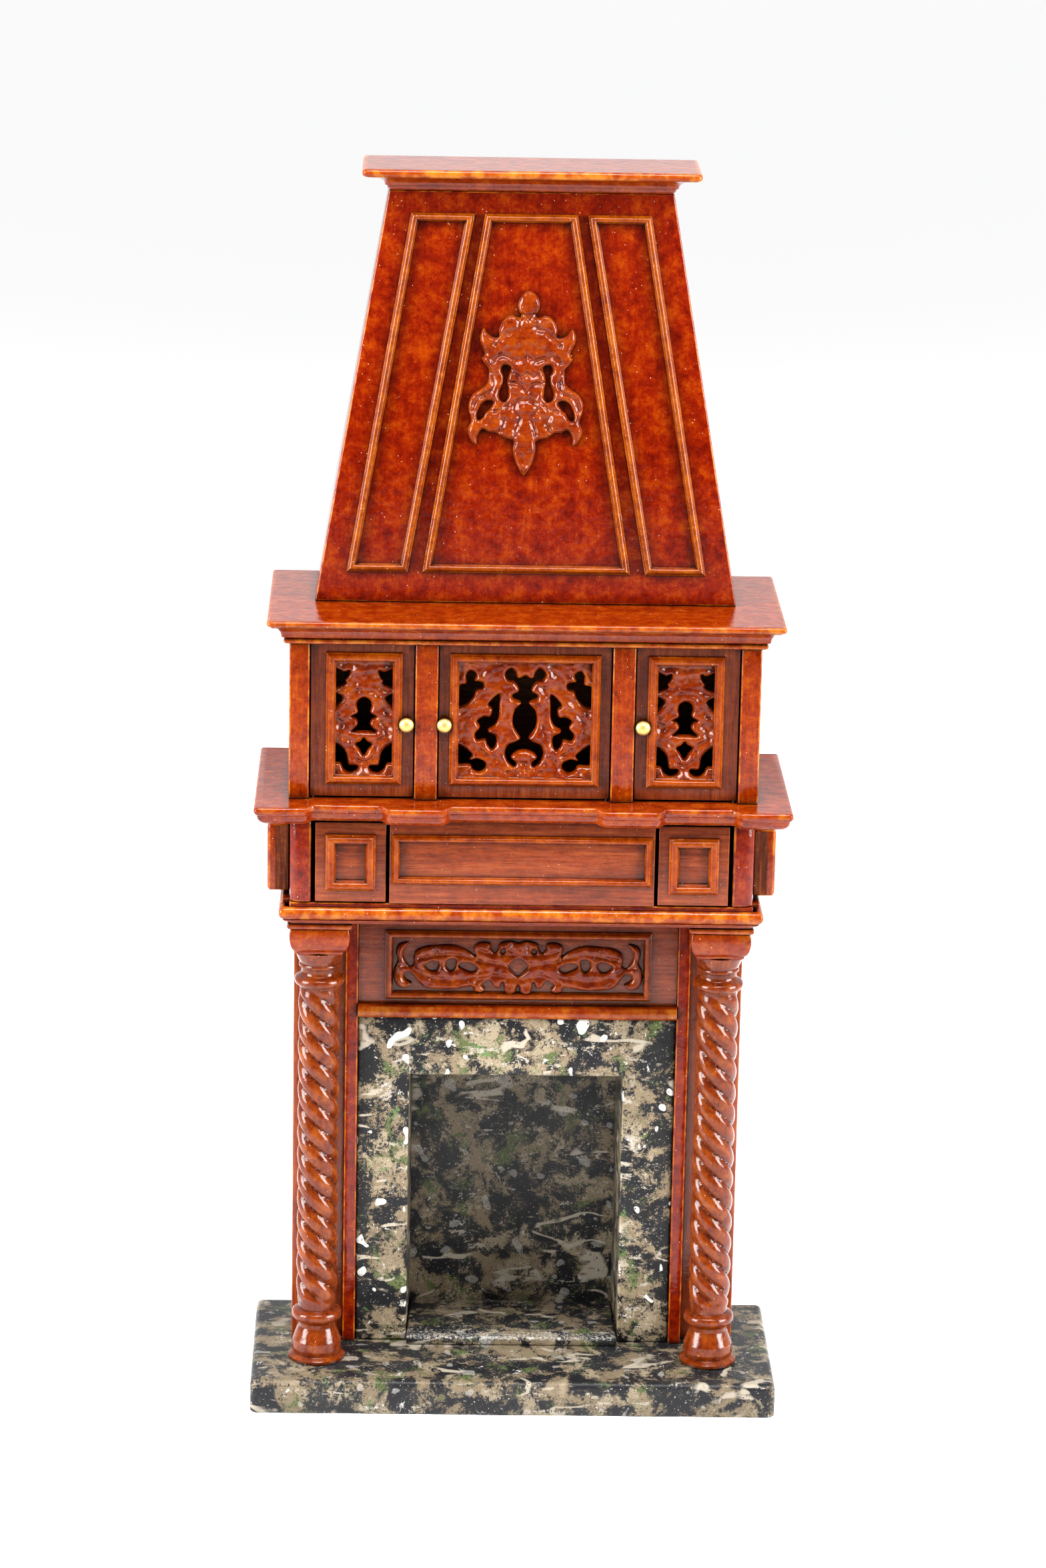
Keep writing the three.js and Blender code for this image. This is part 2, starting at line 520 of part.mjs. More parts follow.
add("door_left", door(-sideFree, -sideHinge, -1, -panelX, SIDE_FRET, SIDE_FRET_CENTRE), darkMahogany());
add("door_centre", door(-centreHinge, centreHinge, 1, 0, CENTRE_FRET, CENTRE_FRET_CENTRE), darkMahogany());
add("door_right", door(sideFree, sideHinge, 1, panelX, SIDE_FRET, SIDE_FRET_CENTRE), darkMahogany());
addPair("door_frame", frame(sideRectangle, DOOR.face), mahogany);
add("door_frame_centre", frame(rectangle(-CENTRE_FRAME_HALF, CENTRE_FRAME_HALF, SIDE_FRAME.bottom,
  SIDE_FRAME.top), DOOR.face), mahogany());
add("knob_left", knob(-KNOB.sideX), brass());
add("knob_centre", knob(KNOB.centreX), brass());
add("knob_right", knob(KNOB.sideX), brass());

// ---- cornice ----
const corniceMoulding = moulded(planBox(CUPBOARD.half, CUPBOARD.front - 0.2),
  [[0, CUPBOARD.top], [0.9, CUPBOARD.top + 0.5], [0.9, CUPBOARD.top + 1.1], [1.6, CUPBOARD.top + 1.5],
    [2.7, CUPBOARD.top + 2.6], [3.2, CUPBOARD.top + 3.9], [3.2, CORNICE.noseBottom]]);
add("cupboard_top_moulding", cut(corniceMoulding,
  ...sockets(CUPBOARD.top - 1, CUPBOARD.top + PIN.socketDepth)), mahogany());
add("cupboard_top_slab", moulded(planBox(CORNICE.half, CORNICE.front),
  [[-0.6, CORNICE.noseBottom], [0, CORNICE.noseBottom + 0.4], [-0.1, CORNICE.top - 0.3],
    [-0.4, CORNICE.top]]), mahogany());

// ---- hood ----

// A board whose four bottom corners [x, y] run to four top corners.
const taperedBoard = (bottomPlan, topPlan) => loft([{ z: HOOD.bottom, plan: bottomPlan },
  { z: HOOD.top, plan: topPlan }]);

function hoodFront() {
  const { bottomHalf, bottomFront, topHalf, topFront, thick } = HOOD;
  const strip = (half, y) => [[-half, y], [half, y], [half, y + thick], [-half, y + thick]];
  return taperedBoard(strip(bottomHalf, bottomFront), strip(topHalf, topFront));
}

function hoodSide() {
  const { bottomHalf, bottomFront, topHalf, topFront, thick } = HOOD;
  const seam = thick + 0.05;
  const strip = (half, y) => [[half - thick, y + seam], [half, y + seam], [half, BACK], [half - thick, BACK]];
  return taperedBoard(strip(bottomHalf, bottomFront), strip(topHalf, topFront));
}

function hoodBack() {
  const { bottomHalf, topHalf, thick } = HOOD;
  const strip = (half) => [[-half, BACK - thick], [half, BACK - thick], [half, BACK], [-half, BACK]];
  return taperedBoard(strip(bottomHalf - thick - 0.05), strip(topHalf - thick - 0.05));
}

// Right half of the cartouche, [x, height up the hood], from the top tip to the bottom tip.
const CARTOUCHE = [[0, 61.0], [1.8, 59.8], [2.4, 56.6], [5.4, 55.4], [6.6, 52.4], [8.6, 54.0],
  [9.6, 51.0], [7.6, 47.6], [5.6, 46.2], [6.4, 43.0], [10.0, 42.0], [11.5, 38.8], [11.0, 34.0],
  [9.6, 31.0], [8.4, 33.6], [4.8, 32.6], [2.6, 31.6], [2.3, 27.6], [0, 24.9]];
const CARTOUCHE_DEPTH = 1.7;
const CARTOUCHE_SLOT = [[3.6, 46.2], [4.6, 45.4], [4.4, 40.0], [3.4, 39.4], [2.9, 42.8]];

function cartouche() {
  const slots = [CARTOUCHE_SLOT, CARTOUCHE_SLOT.map(([x, v]) => [-x, v])];
  return cut(plate(outline(symmetric(CARTOUCHE)), -CARTOUCHE_DEPTH, 0),
    ...slots.map((slot) => plate(outline(slot), -CARTOUCHE_DEPTH - 1, 1)));
}

add("hood_front", hoodFront(), mahogany());
addPair("hood_side", hoodSide(), mahogany);
add("hood_back", hoodBack(), rawWood());

// Everything applied to the sloping face stands in its own leaning group.
const hoodFace = new THREE.Group();
const seat = 0.05; // clearance between the face and what is glued to it
hoodFace.rotation.x = -Math.atan2(HOOD.topFront - HOOD.bottomFront, HOOD.top - HOOD.bottom);
hoodFace.position.set(0, HOOD.bottomFront - seat, HOOD.bottom);
const { foot, head, centreFoot, centreHead, sideFootIn, sideFootOut, sideHeadIn, sideHeadOut } = PANELS;
const sidePanel = [[sideFootIn, foot], [sideFootOut, foot], [sideHeadOut, head], [sideHeadIn, head]];
const centrePanel = [[-centreFoot, foot], [centreFoot, foot], [centreHead, head], [-centreHead, head]];
add("hood_panel_frame_right", frame(sidePanel, 0), mahogany(), hoodFace);
add("hood_panel_frame_left", mirrored(frame(sidePanel, 0)), mahogany(), hoodFace);
add("hood_panel_frame_centre", frame(centrePanel, 0), mahogany(), hoodFace);
add("hood_carving", cartouche(), mahogany(), hoodFace);
mantel.add(hoodFace);

// ---- crown ----
add("crown", moulded(planBox(CROWN.half, CROWN.front),
  [[-5.2, HOOD.top], [-4.6, HOOD.top + 0.5], [-4.3, HOOD.top + 1.2], [-3.0, HOOD.top + 2.5],
    [-1.6, HOOD.top + 3.2], [-0.6, CROWN.noseBottom], [0, CROWN.noseBottom + 0.5],
    [-0.5, CROWN.top]]), mahogany());

export default mantel;
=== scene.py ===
"""Looks of a 1:12 dolls house chimneypiece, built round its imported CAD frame. Shapes are in millimetres."""
import math
import random

import bmesh
import bpy
import numpy as np
from mathutils import Matrix, Vector, noise


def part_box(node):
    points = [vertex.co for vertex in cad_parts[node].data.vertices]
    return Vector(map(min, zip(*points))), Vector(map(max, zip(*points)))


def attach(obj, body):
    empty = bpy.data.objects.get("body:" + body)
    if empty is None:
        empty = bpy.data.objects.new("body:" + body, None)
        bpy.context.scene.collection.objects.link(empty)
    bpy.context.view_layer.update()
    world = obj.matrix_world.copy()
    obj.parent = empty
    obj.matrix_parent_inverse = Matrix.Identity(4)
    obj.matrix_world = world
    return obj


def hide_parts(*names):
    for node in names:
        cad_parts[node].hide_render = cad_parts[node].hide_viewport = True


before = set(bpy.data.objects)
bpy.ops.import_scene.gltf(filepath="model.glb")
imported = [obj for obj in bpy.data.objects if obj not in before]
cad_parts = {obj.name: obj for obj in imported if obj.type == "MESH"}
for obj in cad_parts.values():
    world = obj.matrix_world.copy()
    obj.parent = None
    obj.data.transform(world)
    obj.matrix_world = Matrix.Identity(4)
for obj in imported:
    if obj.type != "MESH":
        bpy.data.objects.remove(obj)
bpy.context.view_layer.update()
MM = 0.001
SIDES = ("left", "right")
LOG = (400, 90, 90)  # the timber that each piece is cut from, along and across its grain
rng = random.Random(12)
noise.seed_set(12)  # noise vectors differ from run to run without it
scene = bpy.context.scene


def box(node):
    """Lowest and highest corner of a CAD node, in millimetres."""
    low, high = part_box(node)
    return low / MM, high / MM


def cut_place(draws=3):
    """Where in the log a piece is cut, so that no two pieces share their grain."""
    return [rng.uniform(0, reach) for reach in LOG[:draws]] + [0] * (3 - draws)


# ---- materials
DUST = (0.66, 0.50, 0.38)
BLACK_PAINT = (0.006, 0.006, 0.007)


class Graph:
    """A material's node tree, written as nested calls."""

    def __init__(self, name):
        self.material = bpy.data.materials.new(name)
        self.material.use_nodes = True
        self.nodes = self.material.node_tree.nodes
        self.links = self.material.node_tree.links
        self.nodes.clear()

    def add(self, kind, output=0, inputs=(), **settings):
        node = self.nodes.new("ShaderNode" + kind)
        for key, value in settings.items():
            setattr(node, key, value)
        for key, value in dict(inputs).items():
            socket = node.inputs[key]
            if isinstance(value, bpy.types.NodeSocket):
                self.links.new(value, socket)
            else:
                socket.default_value = value
        return node.outputs[output]

    def math(self, operation, a, b=0.0):
        return self.add("Math", operation=operation, inputs={0: a, 1: b})

    def plus(self, a, b):
        return self.math("ADD", a, b)

    def less(self, a, b):
        return self.math("SUBTRACT", a, b)

    def times(self, a, b):
        return self.math("MULTIPLY", a, b)

    def position(self):
        """Place on the object, in millimetres."""
        where = self.add("TexCoord", "Object")
        return self.add("VectorMath", operation="SCALE", inputs={0: where, "Scale": 1 / MM})

    def stretch(self, vector, scale):
        return self.add("VectorMath", operation="MULTIPLY", inputs={0: vector, 1: scale})

    def noise(self, vector, scale, detail=4.0, roughness=0.5, distortion=0.0, stretch=None):
        if stretch:
            vector = self.stretch(vector, stretch)
        return self.add("TexNoise", inputs={"Vector": vector, "Scale": scale, "Detail": detail,
                                            "Roughness": roughness, "Distortion": distortion})

    def ramp(self, value, *stops):
        """Colour of a value, from stops of (position, colour)."""
        node = self.nodes.new("ShaderNodeValToRGB")
        elements = node.color_ramp.elements
        while len(elements) < len(stops):
            elements.new(0.5)
        for element, (place, color) in zip(elements, stops):
            element.position = place
            element.color = (*color, 1)
        self.links.new(value, node.inputs[0])
        return node.outputs[0]

    def step(self, value, low, high):
        """0 below low, 1 above high."""
        return self.add("MapRange", interpolation_type="SMOOTHSTEP",
                        inputs={"Value": value, "From Min": low, "From Max": high})

    def mix(self, factor, a, b):
        """Colour a where the factor is 0 and colour b where it is 1."""
        a, b = [(*color, 1) if isinstance(color, tuple) else color for color in (a, b)]
        return self.add("Mix", 2, {0: factor, 6: a, 7: b}, data_type="RGBA")

    def bump(self, height, distance, strength=1.0, normal=None):
        inputs = {"Height": height, "Distance": distance * MM, "Strength": strength}
        if normal is not None:
            inputs["Normal"] = normal
        return self.add("Bump", inputs=inputs)

    def surface(self, **inputs):
        named = {key.replace("_", " ").title().replace("Ior", "IOR"): v for key, v in inputs.items()}
        shader = self.add("BsdfPrincipled", inputs=named)
        target = self.nodes.new("ShaderNodeOutputMaterial")
        self.links.new(shader, target.inputs[0])
        return self.material


def wood(name, deep, body, light, arris, pore_and_shade=(0.004, 0.001, 0.0005), rough=0.12, pores=0.3, dust=0.4,
         streaks=0.08, film=1.0, film_rough=0.08, film_ior=1.3):
    """Stained wood under varnish: grain along the stick, mottled stain, bright arrises, painted shade in
    corners.

    The stain runs from deep over body to light. Arris colours the rubbed edges; the pore and shade colour
    darkens the pores and paints shade into the corners. Pores, dust and streaks are shares from 0 to 1. The
    film is the varnish.
    """
    g = Graph(name)
    grain = g.add("Attribute", "Vector", attribute_name="grain")
    wear = g.add("Attribute", "Fac", attribute_name="edge")
    place = g.position()
    fibre = g.noise(grain, 1.5, 8, 0.62, 0.4, stretch=(0.07, 1.0, 1.0))
    streak = g.noise(grain, 1.0, 3, 0.5, stretch=(0.03, 0.5, 0.5))
    mottle = g.noise(place, 0.32, 8, 0.8, 0.1)
    lines = g.plus(g.times(fibre, 2 * streaks), g.times(streak, streaks))
    tone = g.plus(lines, g.times(mottle, 1 - 3 * streaks))
    color = g.ramp(tone, (0.38, deep), (0.5, body), (0.64, light))
    pore_grain = g.noise(grain, 2.0, 3, 0.6, stretch=(0.12, 2.6, 2.6))
    pore = g.times(g.step(pore_grain, 0.56, 0.7), pores)
    color = g.mix(pore, color, pore_and_shade)
    chipped = g.noise(place, 0.35, 7, 0.6)
    worn = g.step(g.plus(wear, g.times(chipped, 0.7)), 0.68, 1.3)
    color = g.mix(worn, color, g.mix(g.step(chipped, 0.4, 0.6), light, arris))
    # painted shade: ambient occlusion darkens corners and creases towards the pore and shade colour, broken
    # up by the chip noise
    open_air = g.add("AmbientOcclusion", "AO", samples=4, inputs={"Distance": 2.2 * MM})
    shade = g.step(g.plus(open_air, g.times(chipped, 0.16)), 0.42, 1.02)
    color = g.mix(shade, pore_and_shade, color)
    fleck = g.add("TexVoronoi", "Distance", inputs={"Vector": place, "Scale": 0.75})
    specks = g.times(g.less(1.0, g.step(fleck, 0.05, 0.09)), dust)
    specks = g.times(specks, g.step(g.noise(place, 0.16, 3), 0.42, 0.6))
    color = g.mix(specks, color, DUST)
    uneven = g.noise(place, 0.6, 5, 0.55)
    roughness = g.plus(g.plus(g.times(uneven, 0.24), rough), g.times(specks, 0.4))
    pooled = g.bump(uneven, 0.17, 0.6)
    ribbed = g.bump(fibre, 0.08, 0.45, pooled)
    relief = g.bump(g.plus(pore_grain, specks), 0.05, 0.6, ribbed)
    return g.surface(base_color=color, roughness=roughness, normal=relief, coat_weight=film,
                     coat_ior=film_ior, coat_roughness=film_rough, coat_normal=pooled,
                     specular_ior_level=0.0)


def bare_wood(name):
    """Thinly stained back boards."""
    g = Graph(name)
    grain = g.add("Attribute", "Vector", attribute_name="grain")
    place = g.position()
    fibre = g.noise(grain, 1.8, 9, 0.66, 0.5, stretch=(0.06, 1.0, 1.0))
    stain = g.noise(place, 0.12, 5, 0.6)
    tone = g.plus(g.times(fibre, 0.6), g.times(stain, 0.4))
    color = g.ramp(tone, (0.36, (0.13, 0.048, 0.018)), (0.5, (0.28, 0.115, 0.044)),
                   (0.66, (0.43, 0.215, 0.095)))
    saw = g.noise(grain, 1.6, 4, 0.5, stretch=(1.2, 0.08, 0.08))
    # painted shade: darker brown where ambient occlusion finds close surfaces
    open_air = g.add("AmbientOcclusion", "AO", samples=3, inputs={"Distance": 2.0 * MM})
    color = g.mix(g.step(open_air, 0.2, 0.9), (0.08, 0.03, 0.015), color)
    relief = g.bump(saw, 0.07, 0.6, g.bump(fibre, 0.12, 0.7))
    rough = g.plus(g.times(fibre, 0.25), 0.5)
    return g.surface(base_color=color, roughness=rough, normal=relief)


def marbling(name, black, brightness, softness, edging=0.0, dots=0.3):
    """Sponged and brushed paint: tan, green and cream over a black ground.

    Black leaves more of the ground bare and edging blackens the outer edges. Softness is the blur of each
    dab. Dots is the strength of the white blobs.
    """
    g = Graph(name)
    place = g.position()
    sponge = g.noise(place, 1.7, 7, 0.85)
    ragged = g.times(g.less(sponge, 0.5), 0.62)
    across = g.add("SeparateXYZ", "X", inputs={0: place})
    ragged = g.less(ragged, g.times(g.step(g.math("ABSOLUTE", across), 26.0, 32.0), edging))

    def patches(scale, offset, low, stretch=(1.0, 1.0, 1.0)):
        moved = g.add("VectorMath", operation="ADD", inputs={0: place, 1: offset})
        cloud = g.noise(g.stretch(moved, stretch), scale, 6, 0.66, 0.5)
        return g.step(g.plus(cloud, ragged), low, low + softness)

    def paint(color):
        return tuple(channel * brightness for channel in color)

    color = g.mix(g.noise(place, 0.5), (0.005, 0.005, 0.006), (0.016, 0.016, 0.016))
    for scale, offset, low, tint in (
            (0.12, (31, 7, 3), 0.45, (0.33, 0.25, 0.155)), (0.16, (5, 40, 9), 0.55, (0.13, 0.165, 0.055)),
            (0.16, (9, 2, 60), 0.53, (0.46, 0.37, 0.245)), (0.2, (77, 3, 8), 0.63, (0.16, 0.27, 0.09))):
        color = g.mix(patches(scale, offset, low + black), color, paint(tint))
    color = g.mix(patches(0.17, (3, 8, 90), 0.52), color, BLACK_PAINT)
    brushed = patches(0.16, (50, 60, 4), 0.61 + black, (1.0, 1.0, 3.2))
    color = g.mix(brushed, color, paint((0.60, 0.53, 0.43)))
    color = g.mix(patches(0.3, (14, 70, 2), 0.64 + black), color, paint((0.90, 0.86, 0.78)))
    swept = g.noise(place, 0.085, 3, 0.45, 0.3, stretch=(0.5, 1.0, 1.5))
    line = g.math("ABSOLUTE", g.less(g.plus(swept, g.times(ragged, 0.03)), 0.5))
    vein = g.less(1.0, g.step(line, 0.012, 0.024))
    vein = g.times(vein, g.step(g.noise(place, 0.12, 2), 0.54, 0.6))
    color = g.mix(vein, color, paint((0.62, 0.54, 0.42)))
    blobs = g.step(g.noise(place, 0.34, 0, 0.5), 0.75, 0.765)
    color = g.mix(g.times(blobs, dots), color, paint((1.0, 0.96, 0.88)))
    specks = g.noise(place, 2.6, 2, 0.5)
    color = g.mix(g.step(specks, 0.69, 0.73), color, paint((0.8, 0.76, 0.68)))
    color = g.mix(g.less(1.0, g.step(specks, 0.31, 0.35)), color, BLACK_PAINT)
    # painted highlight: a pale cream line where the edge attribute marks the firebox floor's front arris,
    # broken up by the sponge
    edge_highlight = g.add("Attribute", "Fac", attribute_name="edge")
    highlight_dabs = g.step(g.plus(edge_highlight, g.times(ragged, 2.2)), 0.5, 0.62)
    color = g.mix(highlight_dabs, color, paint((0.86, 0.84, 0.78)))
    rough = g.plus(g.times(sponge, 0.3), 0.2)
    layers = g.add("RGBToBW", inputs={0: color})
    relief = g.bump(layers, 0.05, 0.5, g.bump(sponge, 0.06, 0.5))
    return g.surface(base_color=color, roughness=rough, normal=relief, specular_ior_level=0.14)


def polished_brass(name):
    g = Graph(name)
    place = g.position()
    turned = g.noise(place, 2.0, 4, 0.6, stretch=(3.0, 9.0, 3.0))
    tarnish = g.noise(place, 1.6, 4, 0.6)
    color = g.mix(g.step(tarnish, 0.4, 0.75), (0.64, 0.42, 0.13), (0.45, 0.28, 0.08))
    rough = g.plus(g.times(tarnish, 0.25), 0.33)
    return g.surface(base_color=color, metallic=1.0, roughness=rough, normal=g.bump(turned, 0.03, 0.4))


def studio_paper(name):
    g = Graph(name)
    fine = g.noise(g.position(), 0.8, 3)
    color = g.mix(fine, (0.915, 0.915, 0.92), (0.935, 0.935, 0.94))
    return g.surface(base_color=color, roughness=0.6, specular_ior_level=0.2)


MAHOGANY = wood("mahogany", (0.045, 0.0011, 0.0001), (0.098, 0.0042, 0.0001), (0.165, 0.02, 0.0003),
                (0.32, 0.09, 0.004), (0.004, 0.0008, 0.0004), streaks=0.05)
BRIGHT = wood("mahogany_mouldings", (0.058, 0.0032, 0.0002), (0.13, 0.0122, 0.0004),
              (0.205, 0.036, 0.0012), (0.36, 0.118, 0.008), (0.0045, 0.001, 0.0005), pores=0.25, dust=0.5,
              streaks=0.09)
STICK = wood("mahogany_sticks", (0.066, 0.005, 0.0002), (0.134, 0.018, 0.0005), (0.21, 0.043, 0.0012),
             (0.36, 0.13, 0.007), pores=0.25, streaks=0.1, film=0.85, film_rough=0.05)
HOOD_STICK = wood("mahogany_hood_sticks", (0.066, 0.005, 0.0002), (0.126, 0.0195, 0.0004),
                  (0.2, 0.046, 0.001), (0.34, 0.135, 0.006), pores=0.25, streaks=0.1, film=0.6,
                  film_rough=0.04, film_ior=1.36)
CARVED = wood("mahogany_carved", (0.048, 0.0024, 0.0002), (0.108, 0.0108, 0.0003), (0.172, 0.031, 0.0008),
              (0.36, 0.115, 0.005), (0.005, 0.001, 0.0005), rough=0.18, pores=0.2, dust=0.3, film=0.8,
              film_rough=0.04, film_ior=1.31)
SAWN = wood("mahogany_sawn_end", (0.018, 0.0028, 0.0006), (0.075, 0.0125, 0.0018), (0.21, 0.052, 0.006),
            (0.34, 0.11, 0.01), rough=0.5, pores=0.8, dust=0.6, streaks=0.22, film=0.5, film_rough=0.35)
TURNED = wood("mahogany_turned", (0.038, 0.0034, 0.0004), (0.083, 0.0112, 0.001), (0.145, 0.029, 0.0025),
              (0.27, 0.078, 0.008), rough=0.15)
DARK = wood("mahogany_dark", (0.06, 0.0085, 0.0022), (0.118, 0.0185, 0.0045), (0.18, 0.038, 0.009),
            (0.26, 0.06, 0.005), (0.0045, 0.001, 0.0005), rough=0.25, pores=0.6, dust=0.3, streaks=0.22,
            film_rough=0.14)
RAW = bare_wood("raw_wood")
MARBLE = marbling("marbled_paint", black=0.015, brightness=0.50, softness=0.02, edging=0.08, dots=1.0)
HEARTH = marbling("marbled_paint_hearth", black=0.03, brightness=0.29, softness=0.02)
MARBLE_DARK = marbling("marbled_paint_dark", black=0.02, brightness=0.32, softness=0.05)
BRASS = polished_brass("brass")
dict.fromkeys((MAHOGANY, BRIGHT, STICK, HOOD_STICK, CARVED, SAWN, TURNED), "mahogany")
dict.fromkeys((MARBLE, HEARTH, MARBLE_DARK), "marbled_paint")

# ---- pieces
BOARD_WEAR = 0.6  # wear of the rounded edges of every plain board
GRID = 0.13  # spacing of the points of a carving
AXES = dict(zip("XYZ", Matrix.Identity(3)))


def along(axis):
    """A frame of three directions whose first one is the way the grain runs."""
    first = AXES[axis] if isinstance(axis, str) else axis.normalized()
    second = first.orthogonal().normalized()
    return np.array([first, second, first.cross(second)])


def piece(name, points, faces, material, grain="X", edge=None, body="root", nodes=(), sharp=38, fibres=None):
    """A mesh that rides on a body, with the wear (edge, 0 to 1) and the place in the grain of each point."""
    points = np.asarray(points, float)
    mesh = bpy.data.meshes.new(name)
    mesh.from_pydata((points * MM).tolist(), [], faces)
    work = bmesh.new()
    work.from_mesh(mesh)
    bmesh.ops.recalc_face_normals(work, faces=work.faces)
    work.to_mesh(mesh)
    work.free()
    if fibres is None:
        fibres = points @ along(grain).T
    laid = mesh.attributes.new("grain", "FLOAT_VECTOR", "POINT")
    laid.data.foreach_set("vector", (fibres + np.array(cut_place())).astype(np.float32).ravel())
    wear = mesh.attributes.new("edge", "FLOAT", "POINT")
    wear.data.foreach_set("value", np.asarray(np.zeros(len(points)) if edge is None else edge, np.float32))
    return dress(name, mesh, material, body, nodes, sharp)


def shown(name, data):
    """A new object in the scene."""
    made = bpy.data.objects.new(name, data)
    scene.collection.objects.link(made)
    return made


def dress(name, mesh, material, body, nodes, sharp):
    for polygon in mesh.polygons:
        polygon.use_smooth = True
    mesh.set_sharp_from_angle(angle=math.radians(sharp))
    mesh.materials.append(material)
    made = shown(name, mesh)
    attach(made, body)
    if nodes:
        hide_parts(*nodes)
    return made


def board(node, material, grain="X", bevel=0.2, body="root"):
    """A board in a CAD node's shape with its outside edges rubbed round."""
    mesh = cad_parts[node].data.copy()
    mesh.materials.clear()
    work = bmesh.new()
    work.from_mesh(mesh)
    bmesh.ops.remove_doubles(work, verts=work.verts, dist=0.001 * MM)
    bmesh.ops.dissolve_limit(work, angle_limit=math.radians(3), verts=work.verts, edges=work.edges)
    outside = [e for e in work.edges if e.is_convex and e.calc_face_angle(0) > math.radians(30)]
    rounded = bmesh.ops.bevel(work, geom=outside, offset=bevel * MM, segments=3, profile=0.5,
                              affect="EDGES", clamp_overlap=True)["faces"]
    wear = work.loops.layers.float.new("edge")
    for face in rounded:
        for loop in face.loops:
            loop[wear] = BOARD_WEAR
    fibres = work.loops.layers.float_vector.new("grain")
    turn = Matrix(along(grain).tolist())
    shift = Vector(cut_place())
    for face in work.faces:
        for loop in face.loops:
            loop[fibres] = turn @ (loop.vert.co / MM) + shift
    work.to_mesh(mesh)
    work.free()
    return dress(node + "_shown", mesh, material, body, [node], 28)


def loft(sections):
    """Points and faces of a closed skin through sections that all have the same number of points."""
    count = len(sections[0])
    points = [p for section in sections for p in section]
    faces = []
    for level in range(len(sections) - 1):
        for i in range(count):
            a, b = level * count + i, level * count + (i + 1) % count
            faces.append((a, b, b + count, a + count))
    last = (len(sections) - 1) * count
    return points, faces + [tuple(reversed(range(count))), tuple(range(last, last + count))]


def unworn(made):
    """Takes the wear off the edges of a board."""
    edges = made.data.attributes["edge"].data
    edges.foreach_set("value", np.zeros(len(edges), np.float32))


def facing(name, across, deep, up, material):
    """A thin face of another finish over the flat side of a board."""
    section = [(across[0], deep[0]), (across[1], deep[0]), (across[1], deep[1]), (across[0], deep[1])]
    return piece(name, *loft([[(x, y, z) for x, y in section] for z in up]), material, "Z", sharp=20)


def arc(center, radius, start, end, steps):
    """Points on an arc, angles in degrees."""
    turn = [math.radians(start + (end - start) * i / steps) for i in range(steps + 1)]
    rx, ry = radius if isinstance(radius, tuple) else (radius, radius)
    return [(center[0] + rx * math.cos(a), center[1] + ry * math.sin(a)) for a in turn]


def unevenness(points, size, scale):
    """Points moved a little, as hand work does."""
    return [Vector(p) + size * noise.noise_vector(Vector(p) * scale) for p in points]


def slab(name, plan, profile, material, wear, nodes, wobble=0.05):
    """A board whose outline plan(out) follows a profile of (out, height), worn by wear(share along it)."""
    sections = [[(x, y, z) for x, y in plan(out)] for out, z in profile]
    points, faces = loft(sections)
    edge = [wear(k / (len(profile) - 1)) for k in range(len(profile)) for _ in sections[0]]
    return piece(name, unevenness(points, wobble, 0.12), faces, material, "X", edge, nodes=nodes)


def straight_front(half, front, back, corner=0.7):
    """Plan with rounded front corners; it grows forwards and sideways by `out`."""
    def plan(out):
        right = arc((half + out - corner, front - out + corner), corner, -90, 0, 4)
        left = [(-x, y) for x, y in reversed(right)]
        steps = np.linspace(-half - out + corner, half + out - corner, 13)[1:-1]
        return left + [(x, front - out) for x in steps] + right + [(half + out, back), (-half - out, back)]
    return plan


def nose(low, high, bulge):
    """Half-round board edge between two heights."""
    return arc((-bulge, (low + high) / 2), (bulge, (high - low) / 2), -90, 90, 6)


# ---- relief carving
def smooth_line(points, closed=False, per=6):
    """A Catmull-Rom curve through points of any dimension."""
    p = np.asarray(points, float)
    p = np.concatenate([p[-1:], p, p[:2]] if closed else [p[:1], p, p[-1:]])
    found = [0.5 * (2 * b + (c - a) * t + (2 * a - 5 * b + 4 * c - d) * t * t
                    + (3 * b - a - 3 * c + d) * t ** 3)
             for a, b, c, d in zip(p, p[1:], p[2:], p[3:]) for t in np.arange(per) / per]
    return np.array(found if closed else found + [p[-1]])


def nearest(start, end, U, V):
    """Share of a segment at its nearest point to each grid place, and how far off that point lies."""
    (u0, v0), (u1, v1) = start[:2], end[:2]
    du, dv = u1 - u0, v1 - v0
    t = np.clip(((U - u0) * du + (V - v0) * dv) / max(du * du + dv * dv, 1e-9), 0, 1)
    return t, U - u0 - t * du, V - v0 - t * dv


def outside_loop(points, U, V):
    """Distance to a smooth closed loop, positive outside it."""
    loop = smooth_line(points, closed=True, per=5)
    away = np.full(U.shape, 99.0)
    within = np.zeros(U.shape, bool)
    for start, end in zip(loop, np.roll(loop, -1, axis=0)):
        away = np.minimum(away, np.hypot(*nearest(start, end, U, V)[1:]))
        (u0, v0), (u1, v1) = start, end
        if v0 != v1:
            within ^= ((v0 > V) != (v1 > V)) & (U < (u1 - u0) * (V - v0) / (v1 - v0) + u0)
    return np.where(within, -away, away)


def furrow(points, U, V):
    """A soft valley along a line of points (u, v, half width), 0 to 1."""
    line = smooth_line(points)
    valley = np.zeros(U.shape)
    for start, end in zip(line[:-1], line[1:]):
        t, off_u, off_v = nearest(start, end, U, V)
        width = start[2] + (end[2] - start[2]) * t
        valley = np.maximum(valley, np.exp(-(off_u ** 2 + off_v ** 2) / (1.45 * width) ** 2))
    return valley


def both_sides(lines):
    """Lines and their mirror images."""
    return lines + [[(-u, *rest) for u, *rest in line] for line in lines]


def whole(half):
    """A closed loop from its right half, listed from the top of the centre line to the bottom."""
    return half + [(-u, v) for u, v in reversed(half[1:-1])]


